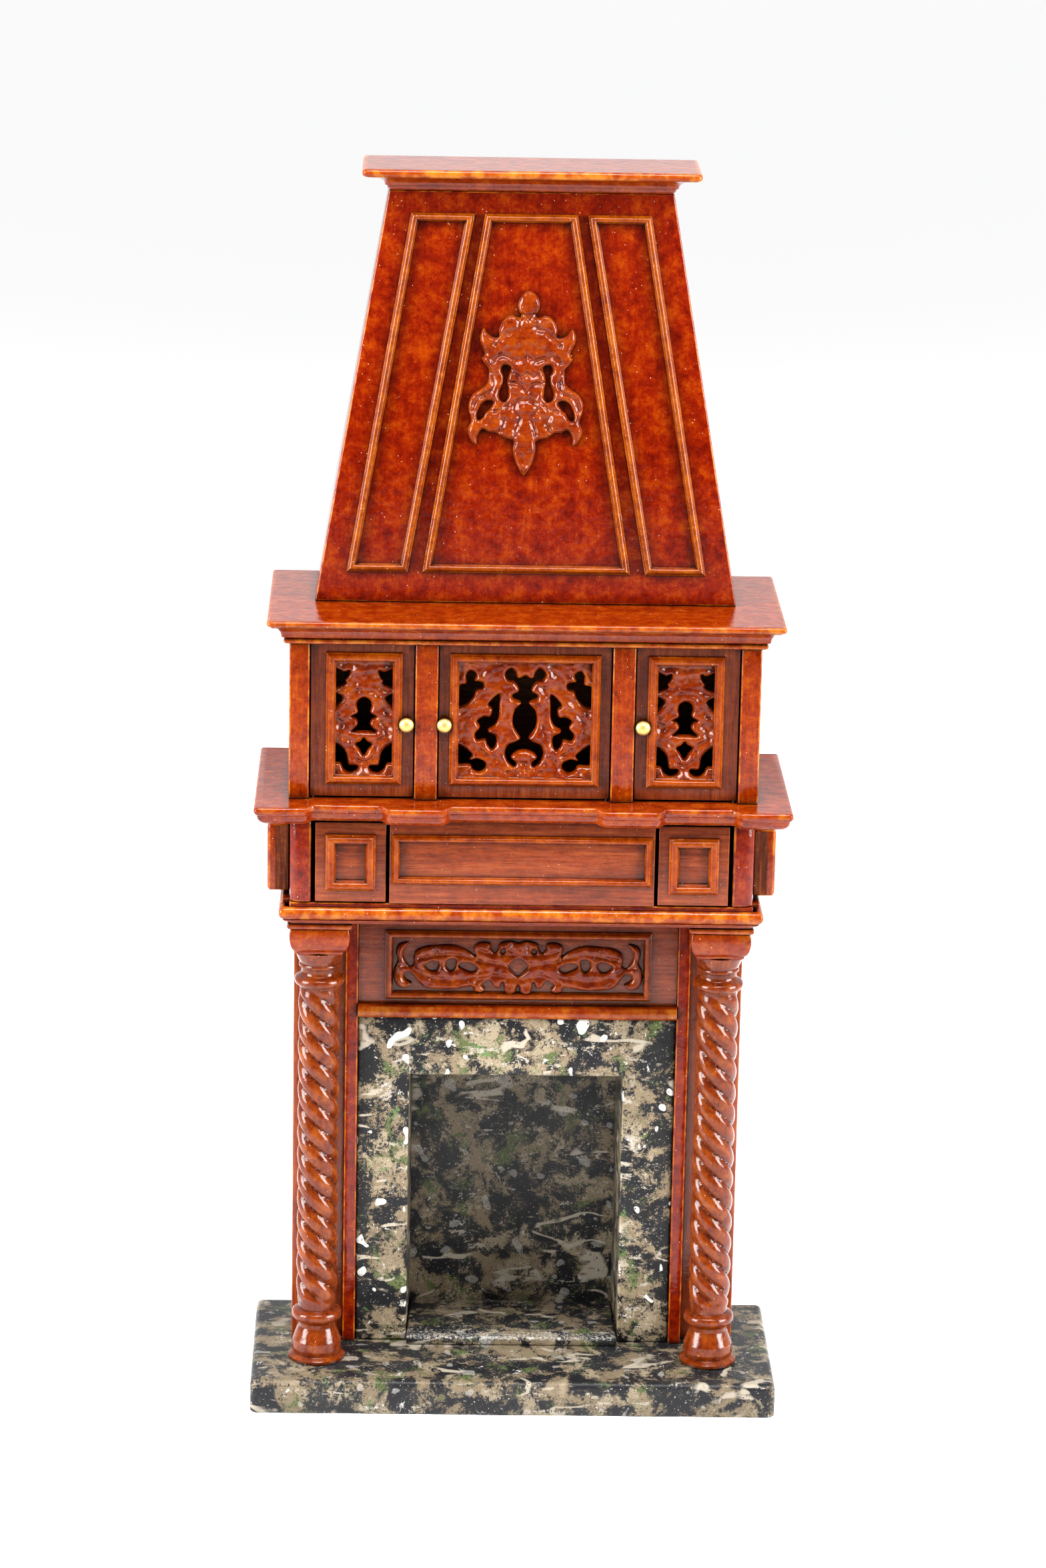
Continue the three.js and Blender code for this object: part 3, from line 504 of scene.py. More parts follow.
def sheet(name, u, v, inside, height, floor, place, material, body, nodes, swell, lumps):
    """A closed solid over a grid: front at `height`, back at `floor`, trimmed where inside < 0."""
    U, V = np.meshgrid(u, v)
    gv, gu = np.gradient(inside, v, u)
    steep = np.maximum(gu * gu + gv * gv, 0.2)
    beyond = np.clip(inside, -1.5 * (u[1] - u[0]), 0)
    U, V = U - beyond * gu / steep, V - beyond * gv / steep
    rows, columns = inside.shape
    solid = inside > 0
    cells = solid[:-1, :-1] | solid[1:, :-1] | solid[:-1, 1:] | solid[1:, 1:]
    at = np.arange(rows * columns).reshape(rows, columns)
    quads = [(at[r, c], at[r, c + 1], at[r + 1, c + 1], at[r + 1, c]) for r, c in zip(*np.nonzero(cells))]
    used = sorted({i for quad in quads for i in quad})
    order = {old: new for new, old in enumerate(used)}
    quads = [tuple(order[i] for i in quad) for quad in quads]
    total = len(used)
    seen = {(q[k], q[(k + 1) % 4]) for q in quads for k in range(4)}
    rim = [pair for pair in seen if (pair[1], pair[0]) not in seen]
    faces = quads + [tuple(i + total for i in reversed(q)) for q in quads]
    faces += [(b, a, a + total, b + total) for a, b in rim]
    depth = np.clip(inside.ravel()[used], 0, 1)
    front = np.stack([U.ravel()[used], V.ravel()[used], height.ravel()[used]], 1)
    for i, (x, y, _) in enumerate(front):
        wave = swell * noise.noise(Vector((x, y, 3.0)) * 0.42) + lumps * noise.noise(Vector((x, y, 9.0)))
        front[i, 2] += depth[i] * wave
    back = front.copy()
    back[:, 2] = floor
    wear = np.concatenate([0.42 * np.clip(1.2 - abs(depth - 0.35) * 3, 0, 1), np.zeros(total)])
    points = [place(*p) for p in np.concatenate([front, back])]
    return piece(name, points, faces, material, "X", wear, body, nodes, sharp=60)


def carving(name, half, holes, furrows, rise, place, nodes):
    """A carved ornament with rounded rims, pierced by holes and modelled by furrows."""
    outline = whole(half)
    reach = max(u for u, v in outline) + 0.5
    low, high = min(v for u, v in outline) - 0.5, max(v for u, v in outline) + 0.5
    u, v = np.arange(-reach, reach, GRID), np.arange(low, high, GRID)
    U, V = np.meshgrid(u, v)
    inside = -outside_loop(outline, U, V)
    for loop in both_sides(holes):
        inside = np.minimum(inside, outside_loop(loop, U, V))
    height = rise * np.sqrt(1 - (1 - np.clip(inside / 0.95, 0, 1)) ** 2)
    valley = np.max([furrow(line, U, V) for line in both_sides(furrows)], axis=0)
    height = np.maximum(height - 0.34 * rise * valley, 0)
    return sheet(name, u, v, inside, height, -0.05, place, CARVED, "root", nodes, 0.4, 0.2)


def fret(name, half_width, half_height, loops, furrows, thick, place, body):
    """A pierced panel whose straps are rounded between the holes and modelled by furrows."""
    u = np.arange(-half_width, half_width + GRID / 2, GRID)
    v = np.arange(-half_height, half_height + GRID / 2, GRID)
    U, V = np.meshgrid(u, v)
    inside = np.full(U.shape, 9.0)
    for loop in loops:
        inside = np.minimum(inside, outside_loop(loop, U, V))
    height = 0.95 * np.sqrt(1 - (1 - np.clip(inside / 1.05, 0, 1)) ** 2) - 0.75
    height -= 0.3 * np.max([furrow(line, U, V) for line in both_sides(furrows)], axis=0)
    return sheet(name, u, v, inside, height, -thick, place, CARVED, body, [], 0.5, 0.2)


# ---- mouldings
def bead_profile(width, rise):
    """Section of an applied moulding as (inset, height, wear): fillet, round ridge, inner slope."""
    ridge = arc((0.52 * width, 0.5 * rise), (0.36 * width, 0.5 * rise), 170, 12, 9)
    section = [(0, 0, 0.0), (0, 0.42 * rise, 0.15), (0.05 * width, 0.52 * rise, 0.4)]
    section += [(x, h, 0.05 + 0.3 * (h / rise) ** 3) for x, h in ridge]
    return section + [(0.93 * width, 0.3 * rise, 0.1), (width, 0.22 * rise, 0.2), (width, 0, 0.0)]


def stick_frame(name, corners, width, rise, place, body="root", nodes=(), material=STICK):
    """Four mitred sticks of moulding round the given outer corners (u, v)."""
    section = bead_profile(width, rise)
    corners = [Vector(c) for c in corners]
    count = len(corners)
    inward = []
    for i, corner in enumerate(corners):
        after = (corners[(i + 1) % count] - corner).normalized()
        before = (corner - corners[i - 1]).normalized()
        n0, n1 = Vector((-before.y, before.x)), Vector((-after.y, after.x))
        inward.append((n0 + n1) / (n0 + n1).dot(n0))
    points, faces, wear, fibres = [], [], [], []
    for i, start in enumerate(corners):
        end = corners[(i + 1) % count]
        run = (end - start).normalized()
        steps = max(4, int((end - start).length / 1.5))
        shift = np.array(cut_place(2))
        first = len(points)
        for s in range(steps + 1):
            share = s / steps
            for inset, height, worn in section:
                a, b = start + inward[i] * inset, end + inward[(i + 1) % count] * inset
                spot = a.lerp(b, share)
                wave = 1 + 0.05 * noise.noise(Vector((spot.x, spot.y, rise)) * 0.35)
                points.append(place(spot.x, spot.y, height * wave))
                wear.append(worn)
                fibres.append(shift + np.array([spot.dot(run), inset, height]))
        for s in range(steps):
            for k in range(len(section) - 1):
                a = first + s * len(section) + k
                faces.append((a, a + 1, a + 1 + len(section), a + len(section)))
    return piece(name, points, faces, material, edge=wear, body=body, nodes=nodes,
                 fibres=np.array(fibres), sharp=50)


def upright(front):
    """Places (u, v, height) on a plane that faces the front."""
    return lambda u, v, h: Vector((u, front - h, v))


def applied_frame(name, node, panel, width, rise, body="root"):
    """Sticks round the outline of a CAD frame, on the front of a panel."""
    low, high = box(node)
    corners = [(low.x, low.z), (high.x, low.z), (high.x, high.z), (low.x, high.z)]
    stick_frame(name, corners, width, rise, upright(box(panel)[0].y), body, [node])


# ---- hearth and firebox
def hearth():
    low, high = box("hearth_slab")
    corner = 1.3
    profile = [(-0.3, low.z), (0, low.z + 0.4)] + arc((-corner, high.z - corner), corner, 0, 90, 6)
    plan = straight_front(high.x, low.y, high.y, corner)
    slab("hearth", plan, profile, HEARTH, lambda t: 0.0, ["hearth_slab"], wobble=0.18)


def firebox():
    low, high = box("firebox_floor")
    floor = board("firebox_floor", HEARTH, bevel=0.5)
    # painted highlight: a pale line along the floor's front arris
    highlight_line = floor.data.attributes["edge"]
    for i, corner in enumerate(floor.data.loops):
        where = floor.data.vertices[corner.vertex_index].co / MM
        highlight_line.data[i].value = 0.52 if where.y < low.y + 0.6 and where.z > high.z - 0.7 else 0.0
    unworn(board("firebox_liner", MARBLE_DARK))
    unworn(board("firebox_back", MARBLE_DARK))
    unworn(board("marble_surround", MARBLE, bevel=0.55))
    # the back board is painted only towards the firebox; its rear keeps the bare wood
    low, high = box("firebox_back")
    facing("firebox_back_rear", (low.x, high.x), (high.y - 0.02, high.y + 0.06), (low.z, high.z), RAW)


# ---- columns
def column(side):
    """Turned foot and neck with a four-strand twist between them."""
    low, high = box(f"column_{side}")
    cx, cy = (low.x + high.x) / 2, (low.y + high.y) / 2
    reach = (high.x - low.x) / 2
    foot, neck = low.z, high.z
    twist_low, twist_high, run_in = foot + 11.9, neck - 7.6, 2.2
    shaft, groove, lead, strands, around = 4.15, 1.05, 18.2, 4, 72
    outline = [(reach - 0.5, foot), (reach, foot + 0.3), (reach, foot + 0.8), (reach - 0.5, foot + 1.2),
               (4.8, foot + 1.5), (5.0, foot + 2.4), (4.85, foot + 4.2), (4.2, foot + 6.0),
               (3.75, foot + 7.2), (3.85, foot + 8.0), (4.2, foot + 8.3)]
    outline += arc((4.2, foot + 9.6), (0.85, 1.1), -80, 80, 8)
    outline += [(3.7, foot + 11.0), (3.8, twist_low), (shaft, twist_low + 1.6), (shaft, twist_high - 1.6),
                (3.85, twist_high), (3.9, twist_high + 0.3)]
    outline += arc((4.15, twist_high + 1.4), (0.85, 0.95), -80, 80, 8)
    outline += [(3.75, neck - 4.9), (3.55, neck - 4.4), (3.6, neck - 3.6), (4.05, neck - 3.3),
                (4.1, neck - 2.9), (3.9, neck - 2.6), (4.3, neck - 1.8), (4.75, neck - 0.6), (4.9, neck)]
    radii, heights = zip(*outline)
    sections, wear = [], []
    for z in np.unique(np.concatenate([np.arange(foot, neck, 0.33), heights])):
        radius = np.interp(z, heights, radii)
        full = min(1.0, max(0.0, min(z - twist_low, twist_high - z) / run_in))
        turn = -2 * math.pi * (z - foot) / lead
        section = []
        for k in range(around):
            angle = 2 * math.pi * k / around
            lobe = abs(math.sin(strands / 2 * (angle - turn))) ** 0.5
            ring = radius - full * groove * (1 - lobe)
            ring += 0.05 * noise.noise(Vector((cx + 3 * math.cos(angle), 3 * math.sin(angle), z)) * 0.5)
            section.append((cx + ring * math.cos(angle), cy + ring * math.sin(angle), z))
            wear.append(0.42 * lobe * full if full else 0.25 * (radius > 4.6))
        sections.append(section)
    piece(f"twist_column_{side}", *loft(sections), TURNED, "Z", wear, nodes=[f"column_{side}"], sharp=50)


def capital(side):
    """Square cushion block under a thin abacus."""
    low, high = box(f"capital_block_{side}")
    cx, cy = (low.x + high.x) / 2, (low.y + high.y) / 2
    wide, foot, corner = (high.x - low.x) / 2, low.z, 0.35
    profile = [(4.4, foot), (4.7, foot + 0.3)]
    profile += arc((4.4, foot + 3.9), (1.55, 3.3), -78, 30, 8)
    profile += [(5.2, foot + 5.3), (5.5, foot + 5.6), (wide - 0.2, foot + 5.8)]
    profile += arc((wide - 0.35, (foot + high.z) / 2 + 2.75), (0.35, 0.6), -70, 90, 5)
    sections, wear = [], []
    for half, z in profile:
        quarter = arc((half - corner, half - corner), corner, 0, 90, 3)
        ring = [(s * x, t * y) for s, t, way in ((1, 1, 1), (-1, 1, -1), (-1, -1, 1), (1, -1, -1))
                for x, y in quarter[::way]]
        sections.append([(cx + x, cy + y, min(z, high.z)) for x, y in ring])
        wear += [0.15 + 0.25 * (half > 5.6)] * len(ring)
    points, faces = loft(sections)
    piece(f"capital_{side}", unevenness(points, 0.06, 0.3), faces, BRIGHT, "X", wear,
          nodes=[f"capital_block_{side}"], sharp=45)


# ---- frieze
FRIEZE_HALF = [
    (0, 92.2), (1.4, 92.6), (2.9, 92.4), (3.9, 91.9), (4.1, 90.9), (4.7, 90.1), (5.4, 90.9), (5.6, 92.0),
    (7.2, 92.3), (8.7, 91.7), (9.0, 90.5), (8.6, 89.3), (10.0, 90.4), (12.9, 91.6), (16.5, 91.5),
    (18.8, 91.2), (20.5, 90.3), (21.0, 88.9), (20.9, 87.6), (21.6, 87.1), (22.4, 88.0), (22.9, 89.3),
    (22.6, 90.8), (21.9, 92.1), (23.8, 91.7), (24.5, 90.1), (24.1, 88.2), (24.8, 86.6), (24.9, 84.5),
    (24.1, 82.9), (22.5, 82.5), (21.2, 83.5), (22.4, 84.3), (22.8, 85.2), (21.9, 85.9), (20.9, 85.0),
    (19.9, 83.6), (18.6, 82.7), (16.5, 82.3), (12.9, 82.3), (9.4, 82.9), (8.8, 82.0), (7.4, 81.7),
    (6.5, 82.4), (7.1, 83.5), (5.7, 84.2), (4.8, 82.9), (3.6, 82.7), (3.1, 83.9), (2.9, 82.8), (2.5, 81.7),
    (1.5, 81.3), (0.4, 81.9), (0, 82.9)]
FRIEZE_DIAMOND = [(0, 88.9), (1.0, 88.2), (1.9, 87.2), (1.0, 86.1), (0, 85.2)]
FRIEZE_HOLES = [
    [(8.3, 86.8), (9.4, 87.7), (11.1, 87.9), (11.9, 87.2), (10.6, 86.4), (9.2, 86.0)],
    [(12.6, 88.5), (13.9, 88.5), (14.4, 87.3), (13.6, 86.2), (12.7, 86.9)],
    [(16.0, 87.8), (17.4, 88.1), (18.7, 87.2), (17.6, 86.2), (16.4, 86.4)],
    [(2.9, 90.9), (3.5, 90.6), (3.3, 89.9), (2.7, 90.1)]]
FRIEZE_FURROWS = [
    [(0.2, 89.7, 0.3), (2.6, 89.6, 0.4), (5.6, 89.9, 0.35), (7.8, 90.6, 0.3)],
    [(0.2, 84.4, 0.3), (2.4, 85.0, 0.4), (5.2, 85.2, 0.4), (8.2, 84.2, 0.35)],
    [(2.6, 87.3, 0.3), (5.0, 87.9, 0.4), (7.6, 88.3, 0.35), (10.4, 89.2, 0.4), (14.0, 89.7, 0.35),
     (18.0, 89.2, 0.3)],
    [(8.6, 85.0, 0.3), (12.6, 84.4, 0.45), (17.2, 84.7, 0.45), (21.2, 86.6, 0.4), (23.2, 87.3, 0.3)],
    [(17.0, 91.4, 0.25), (16.6, 90.0, 0.35), (18.0, 88.9, 0.3), (19.8, 88.9, 0.3)],
    [(1.6, 91.9, 0.2), (2.0, 90.9, 0.3), (1.2, 90.2, 0.25)],
    [(0.0, 83.6, 0.2), (0.0, 82.6, 0.3)]]


def frieze():
    board("frieze_board", DARK, bevel=0.15)
    rise = 1.15
    applied_frame("frieze_moulding", "frieze_frame", "frieze_board", 1.6, rise)
    carving("frieze_scrolls", FRIEZE_HALF, FRIEZE_HOLES + [whole(FRIEZE_DIAMOND)], FRIEZE_FURROWS, rise,
            upright(box("frieze_board")[0].y), ["frieze_carving"])
    low, high = box("bead_rail")
    bulge = 1.2
    flat = low.y + bulge
    section = [(high.y, low.z), (flat, low.z)]
    section += arc((flat, (low.z + high.z) / 2), (-bulge, 0.5 * (high.z - low.z)), -80, 80, 10)
    section += [(flat, high.z), (high.y, high.z)]
    stations = np.linspace(low.x, high.x, 24)
    points, faces = loft([[(x, y, z) for y, z in section] for x in stations])
    wear = [0.5 if y < low.y + 0.5 else 0.1 for _ in stations for y, _ in section]
    piece("frieze_rail", unevenness(points, 0.05, 0.2), faces, BRIGHT, "X", wear, nodes=["bead_rail"])


# ---- shelves
def lower_shelf():
    low, high = box("lower_shelf")
    lip = 1.0  # the nose stands this much above the shelf, in front of the base board
    profile = [(-3.0, low.z), (-2.2, low.z + 0.05), (-2.1, low.z + 0.4), (-1.5, low.z + 0.6)]
    profile += arc((-1.5, low.z + 1.0), (0.7, 0.4), -70, 30, 4)
    profile += nose(low.z + 1.25, high.z + lip, 0.8)
    profile += [(-1.25, high.z + lip), (-1.25, high.z), (-1.6, high.z)]
    slab("lower_shelf_board", straight_front(high.x, low.y, high.y), profile, BRIGHT,
         lambda t: 0.55 if 0.45 < t < 0.85 else 0.1, ["lower_shelf"])
    board("lower_shelf_moulding", DARK, bevel=0.3)


def break_front(half, front, back, depth, returns):
    """Shelf outline that comes forward at the corners and beside the middle, with rounded returns."""
    def forward(x):
        raised = sum(way / (1 + math.exp(-4.2 * (abs(x) - spot))) for spot, way in zip(returns, (1, -1, 1)))
        return front + depth * (1 - raised)

    def plan(out):
        corner = 0.7
        across = np.linspace(-half - out + corner, half + out - corner, 181)
        run = [(x, forward(x) - out) for x in across]
        right = arc((half + out - corner, front - out + corner), corner, -90, 0, 4)[1:]
        left = [(-x, y) for x, y in reversed(right)]
        return left + run + right + [(half + out, back), (-half - out, back)]
    return plan


def mantel_shelf():
    low, high = box("mid_shelf")
    plan = break_front(high.x, low.y, high.y, 2.7, (14.9, 26.9, 41.6))
    profile = [(-1.9, low.z), (-0.55, low.z), (-0.2, low.z + 0.35)]
    profile += arc((-0.55, high.z - 0.75), (0.55, 0.75), -25, 90, 7) + [(-1.6, high.z)]
    slab("mantel_shelf", plan, profile, BRIGHT, lambda t: 0.45 if 0.2 < t < 0.9 else 0.0, ["mid_shelf"])
    low, high = box("mid_shelf_moulding")
    profile = [(-3.4, low.z)] + [(-3.1 + 2.55 * math.sin(a), high.z - (high.z - low.z) * math.cos(a))
                                 for a in np.radians([10, 25, 40, 55, 70, 90])]
    slab("mantel_shelf_moulding", plan, profile, BRIGHT, lambda t: 0.3, ["mid_shelf_moulding"])


def cornice():
    low, high = box("cupboard_top_moulding")
    z = low.z
    front, half = box("cupboard_side_right")[0].y, box("cupboard_side_right")[1].x
    profile = [(0, z), (0.55, z + 0.1)] + arc((0.55, z + 0.65), (0.45, 0.5), -80, 80, 5)
    profile += [(0.9, z + 1.35), (1.3, z + 1.5)] + arc((3.4, z + 1.6), (2.0, 2.1), 180, 100, 7)
    profile += [(3.35, z + 3.75), (3.4, high.z)]
    slab("cornice_moulding", straight_front(half + 0.15, front - 0.15, high.y, 0.4), profile, BRIGHT,
         lambda t: 0.55 if 0.12 < t < 0.4 or t > 0.85 else 0.15, ["cupboard_top_moulding"])
    low, high = box("cupboard_top_slab")
    profile = [(-1.6, low.z)] + nose(low.z, high.z, 0.45) + [(-1.4, high.z)]
    slab("cornice_slab", straight_front(high.x, low.y, high.y, 0.8), profile, BRIGHT,
         lambda t: 0.5 if 0.1 < t < 0.9 else 0.0, ["cupboard_top_slab"])


def crown():
    low, high = box("crown")
    z = low.z
    profile = [(-5.2, z), (-4.9, z + 0.35), (-4.75, z + 0.9), (-4.4, z + 1.0)]
    profile += [(-4.4 + 3.5 * (1 - math.cos(a)), z + 1.0 + 1.9 * math.sin(a))
                for a in np.radians([15, 30, 45, 60, 75, 90])]
    profile += [(-0.7, z + 3.0)] + nose(z + 3.05, high.z, 0.55) + [(-1.5, high.z)]
    slab("crown_board", straight_front(high.x, low.y, high.y, 0.9), profile, BRIGHT,
         lambda t: 0.6 if 0.58 < t < 0.95 else 0.2, ["crown"])


# ---- drawer band
def drawer_band():
    board("band_base_board", MAHOGANY, bevel=0.3)
    board("band_carcase", DARK, bevel=0.12)
    board("band_centre_panel", DARK, bevel=0.15)
    applied_frame("centre_panel_moulding", "centre_panel_frame", "band_centre_panel", 1.5, 1.2)
    sawn_near, sawn_far = 45.8, 48.3  # the sawn end of a plaque, out from the middle of the piece
    for side, way in zip(SIDES, (-1, 1)):
        board(f"band_post_{side}", MAHOGANY, "Z", bevel=0.45)
        board(f"side_plaque_{side}", BRIGHT, "Z", bevel=0.25)
        low, high = box(f"side_plaque_{side}")
        facing(f"side_plaque_end_{side}", sorted((way * sawn_near, way * sawn_far)),
               (low.y - 0.04, low.y + 0.05), (low.z + 0.3, high.z - 0.3), SAWN)
        body = f"drawer_{side}"
        board(body, DARK, bevel=0.15, body=body)
        applied_frame(f"drawer_moulding_{side}", f"drawer_frame_{side}", body, 2.05, 1.55, body)


# ---- cupboard
SIDE_HOLES = [
    [(2.9, 9.4), (4.0, 9.1), (5.9, 9.6), (5.9, 6.2), (4.5, 6.3), (3.6, 6.8), (3.7, 7.5), (3.0, 8.4)],
    [(5.9, 4.7), (4.3, 3.9), (5.9, 2.3)],
    [(5.9, -5.4), (4.4, -5.9), (3.4, -7.2), (3.1, -8.8), (2.8, -9.6), (1.2, -9.7), (1.4, -10.6),
     (2.8, -11.1), (3.9, -10.5), (4.5, -9.3), (5.9, -8.8)]]
SIDE_MIDDLE = [
    [(0, 4.0), (1.1, 3.5), (1.45, 2.4), (1.2, 1.2), (1.5, 0.7), (2.4, 0.2), (1.6, -0.35), (1.15, -1.3),
     (1.9, -2.3), (2.3, -2.8), (0, -2.8)],
    [(0, -4.1), (0.6, -4.75), (1.6, -5.4), (0.8, -6.5), (0, -7.6)]]
SIDE_FURROWS = [
    [(0.3, 8.8, 0.3), (1.7, 8.3, 0.5), (2.6, 6.4, 0.45), (4.4, 5.5, 0.3)],
    [(0.3, 5.6, 0.3), (2.3, 5.0, 0.45), (3.2, 2.6, 0.5), (4.9, 0.9, 0.3)],
    [(2.2, -0.9, 0.3), (4.2, -1.0, 0.5), (4.6, -3.4, 0.45), (2.8, -4.5, 0.3)],
    [(0.4, -8.9, 0.3), (1.7, -8.0, 0.4), (2.4, -5.8, 0.3)],
    [(0.3, 10.4, 0.3), (2.4, 10.8, 0.4), (5.6, 10.6, 0.3)]]
CENTRE_HOLES = [
    [(9.6, 9.0), (10.6, 9.7), (11.4, 8.9), (11.5, 7.1), (13.1, 6.3), (13.1, 2.5), (11.4, 2.8),
     (10.1, 4.2), (9.5, 5.7), (8.2, 6.2), (8.3, 7.3), (9.9, 7.7)],
    [(5.1, 5.0), (7.1, 3.0), (6.3, 2.0), (6.7, 0.5), (8.0, 0.5), (9.2, -0.4), (8.7, -1.7), (9.6, -3.0),
     (9.2, -4.3), (7.6, -4.1), (7.1, -5.3), (6.2, -6.1), (5.5, -5.0), (5.6, -3.4), (6.9, -2.7),
     (7.0, -2.0), (5.8, -1.3), (5.1, 0.3), (5.0, 2.6)],
    [(13.1, -5.2), (10.2, -7.0), (10.6, -8.2), (9.0, -8.0), (7.6, -8.7), (7.5, -9.9), (8.6, -10.7),
     (9.9, -10.3), (10.6, -9.2), (13.1, -9.0)]]
CENTRE_MIDDLE = [
    [(0, 8.8), (0.9, 8.3), (1.6, 8.4), (2.0, 9.6), (2.9, 10.2), (3.9, 9.2), (3.4, 7.9), (2.2, 7.6),
     (1.3, 6.2), (1.4, 5.5), (2.4, 4.9), (2.3, 4.2), (1.1, 3.6), (0.8, 3.1), (1.9, 2.0), (2.35, 0.1),
     (2.1, -1.7), (1.3, -3.0), (0.8, -3.8), (1.7, -4.5), (3.2, -5.2), (3.7, -6.8), (3.1, -8.5),
     (1.9, -9.4), (1.6, -8.7), (2.6, -7.6), (1.6, -6.5), (0, -6.2)]]
CENTRE_FURROWS = [
    [(4.9, 10.1, 0.3), (6.4, 8.7, 0.5), (6.8, 6.4, 0.5), (9.0, 4.0, 0.45), (12.4, 1.2, 0.3)],
    [(3.0, 6.6, 0.3), (4.3, 5.0, 0.5), (3.9, 1.6, 0.4), (3.5, -1.6, 0.5), (4.4, -4.4, 0.4)],
    [(7.4, -7.2, 0.3), (9.4, -5.9, 0.5), (11.4, -3.6, 0.5), (11.6, -0.6, 0.45), (9.8, 1.6, 0.4),
     (8.0, 2.0, 0.3)],
    [(4.2, -8.9, 0.3), (5.6, -7.9, 0.5), (6.9, -9.9, 0.4), (10.8, -10.6, 0.3)],
    [(0.3, -8.7, 0.3), (0.5, -10.2, 0.45), (3.4, -10.6, 0.3)],
    [(4.8, 11.0, 0.3), (7.6, 10.6, 0.5), (8.4, 9.0, 0.3)]]


def ring_board(name, outer, inner, front, back, body):
    """A door board with a rectangular window."""
    points, faces = [], []
    for y in (front, back):
        for x0, x1, z0, z1 in (outer, inner):
            points += [(x0, y, z0), (x1, y, z0), (x1, y, z1), (x0, y, z1)]
    for i in range(4):
        j = (i + 1) % 4
        faces += [(i, j, 4 + j, 4 + i), (8 + i, 12 + i, 12 + j, 8 + j), (i, 8 + i, 8 + j, j),
                  (4 + i, 4 + j, 12 + j, 12 + i)]
    return piece(name, points, faces, DARK, "Z", body=body, sharp=20)


def door(side, holes, middle, furrows, width):
    """A framed door with a fret in its window. The fret's holes lie beside and across its middle line."""
    body = f"door_{side}"
    low, high = box(body)
    pin, pin_radius, lap = 1.15, 0.3, 0.6
    frame_low, frame_high = box(f"door_frame_{side}")
    centre = (frame_low + frame_high) / 2
    window = (frame_low.x + width - lap, frame_high.x - width + lap,
              frame_low.z + width - lap, frame_high.z - width + lap)
    made = ring_board(f"door_board_{side}", (low.x, high.x, low.z + pin, high.z - pin), window,
                      low.y, high.y, body)
    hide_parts(body)
    half_u, half_v = (window[1] - window[0]) / 2, (window[3] - window[2]) / 2
    loops = both_sides(holes) + [whole(half) for half in middle]
    fret(f"door_fret_{side}", half_u, half_v, loops, furrows, high.y - low.y,
         lambda u, v, h: Vector((centre.x + u, low.y - h, centre.z + v)), body)
    applied_frame(f"door_moulding_{side}", f"door_frame_{side}", body, width, 1.25, body)
    inset = 0.4
    axis = (low.x + inset if side == "left" else high.x - inset, low.y + inset)
    for end, heights in (("top", (high.z - pin - 0.1, high.z)), ("foot", (low.z, low.z + pin + 0.1))):
        rings = [[(x, y, z) for x, y in arc(axis, pin_radius, 0, 330, 11)] for z in heights]
        piece(f"pin_{side}_{end}", *loft(rings), DARK, "Z", body=body)
    knob(side, body)


def knob(side, body):
    """Small turned brass knob with a domed face."""
    low, high = box(f"knob_{side}")
    cx, cz, radius = (low.x + high.x) / 2, (low.z + high.z) / 2, 1.03 * (high.x - low.x) / 2
    root, around, tiny = high.y, 32, 0.01
    outline = [(0.0, root), (0.75, root), (0.7, root - 0.25), (0.48, root - 0.45),
               (0.45, root - 1.0), (0.8, root - 1.15), (radius * 0.95, root - 1.3)]
    outline += [(radius * math.cos(a), root - 1.5 - 1.05 * math.sin(a))
                for a in np.radians([0, 14, 28, 42, 56, 70, 82, 90])]
    turns = [2 * math.pi * k / around for k in range(around)]
    rings = [[(cx + max(r, tiny) * math.cos(t), y, cz + max(r, tiny) * math.sin(t)) for t in turns]
             for r, y in outline]
    piece(f"brass_knob_{side}", *loft(rings), BRASS, "Y", body=body, nodes=[f"knob_{side}"], sharp=60)


def cupboard():
    board("cupboard_back", RAW, bevel=0.1)
    for side in SIDES:
        board(f"cupboard_side_{side}", BRIGHT, "Z", bevel=0.3)
        board(f"inner_pilaster_{side}", BRIGHT, "Z", bevel=0.28)
        board(f"cupboard_partition_{side}", DARK, "Z", bevel=0.1)
        door(side, SIDE_HOLES, SIDE_MIDDLE, SIDE_FURROWS, 1.9)
    door("centre", CENTRE_HOLES, CENTRE_MIDDLE, CENTRE_FURROWS, 1.75)


# ---- hood
CARTOUCHE_HALF = [
    (0, 60.8), (1.4, 60.1), (2.2, 58.4), (2.0, 56.8), (1.5, 55.9), (2.2, 55.8), (3.1, 56.1), (4.2, 55.8),
    (5.3, 54.6), (5.8, 53.0), (5.7, 51.9), (6.6, 51.8), (7.6, 52.4), (8.6, 53.6), (9.3, 52.6), (9.4, 51.0),
    (8.8, 49.6), (8.4, 48.5), (8.9, 47.6), (8.3, 46.5), (7.5, 45.6), (7.4, 44.3), (7.6, 43.0), (8.6, 41.9),
    (10.2, 40.9), (11.2, 39.2), (11.1, 37.2), (10.6, 35.5), (11.2, 33.8), (10.7, 31.9), (9.3, 30.8),
    (9.2, 32.4), (8.3, 33.8), (7.0, 33.3), (5.7, 33.2), (4.6, 32.4), (3.2, 32.0), (2.2, 31.6), (2.3, 30.3),
    (2.0, 28.4), (1.2, 26.5), (0, 24.9)]
CARTOUCHE_HOLES = [
    [(3.3, 46.0), (4.5, 46.3), (4.9, 45.4), (4.4, 44.2), (4.5, 42.8), (5.1, 41.3), (5.1, 39.9), (4.2, 39.3),
     (3.6, 40.2), (3.6, 41.6), (3.9, 43.2), (3.6, 44.6)],
    [(6.4, 39.2), (7.6, 39.4), (8.7, 38.5), (9.3, 37.0), (9.2, 35.8), (8.4, 36.2), (7.9, 37.2), (7.0, 38.0)]]
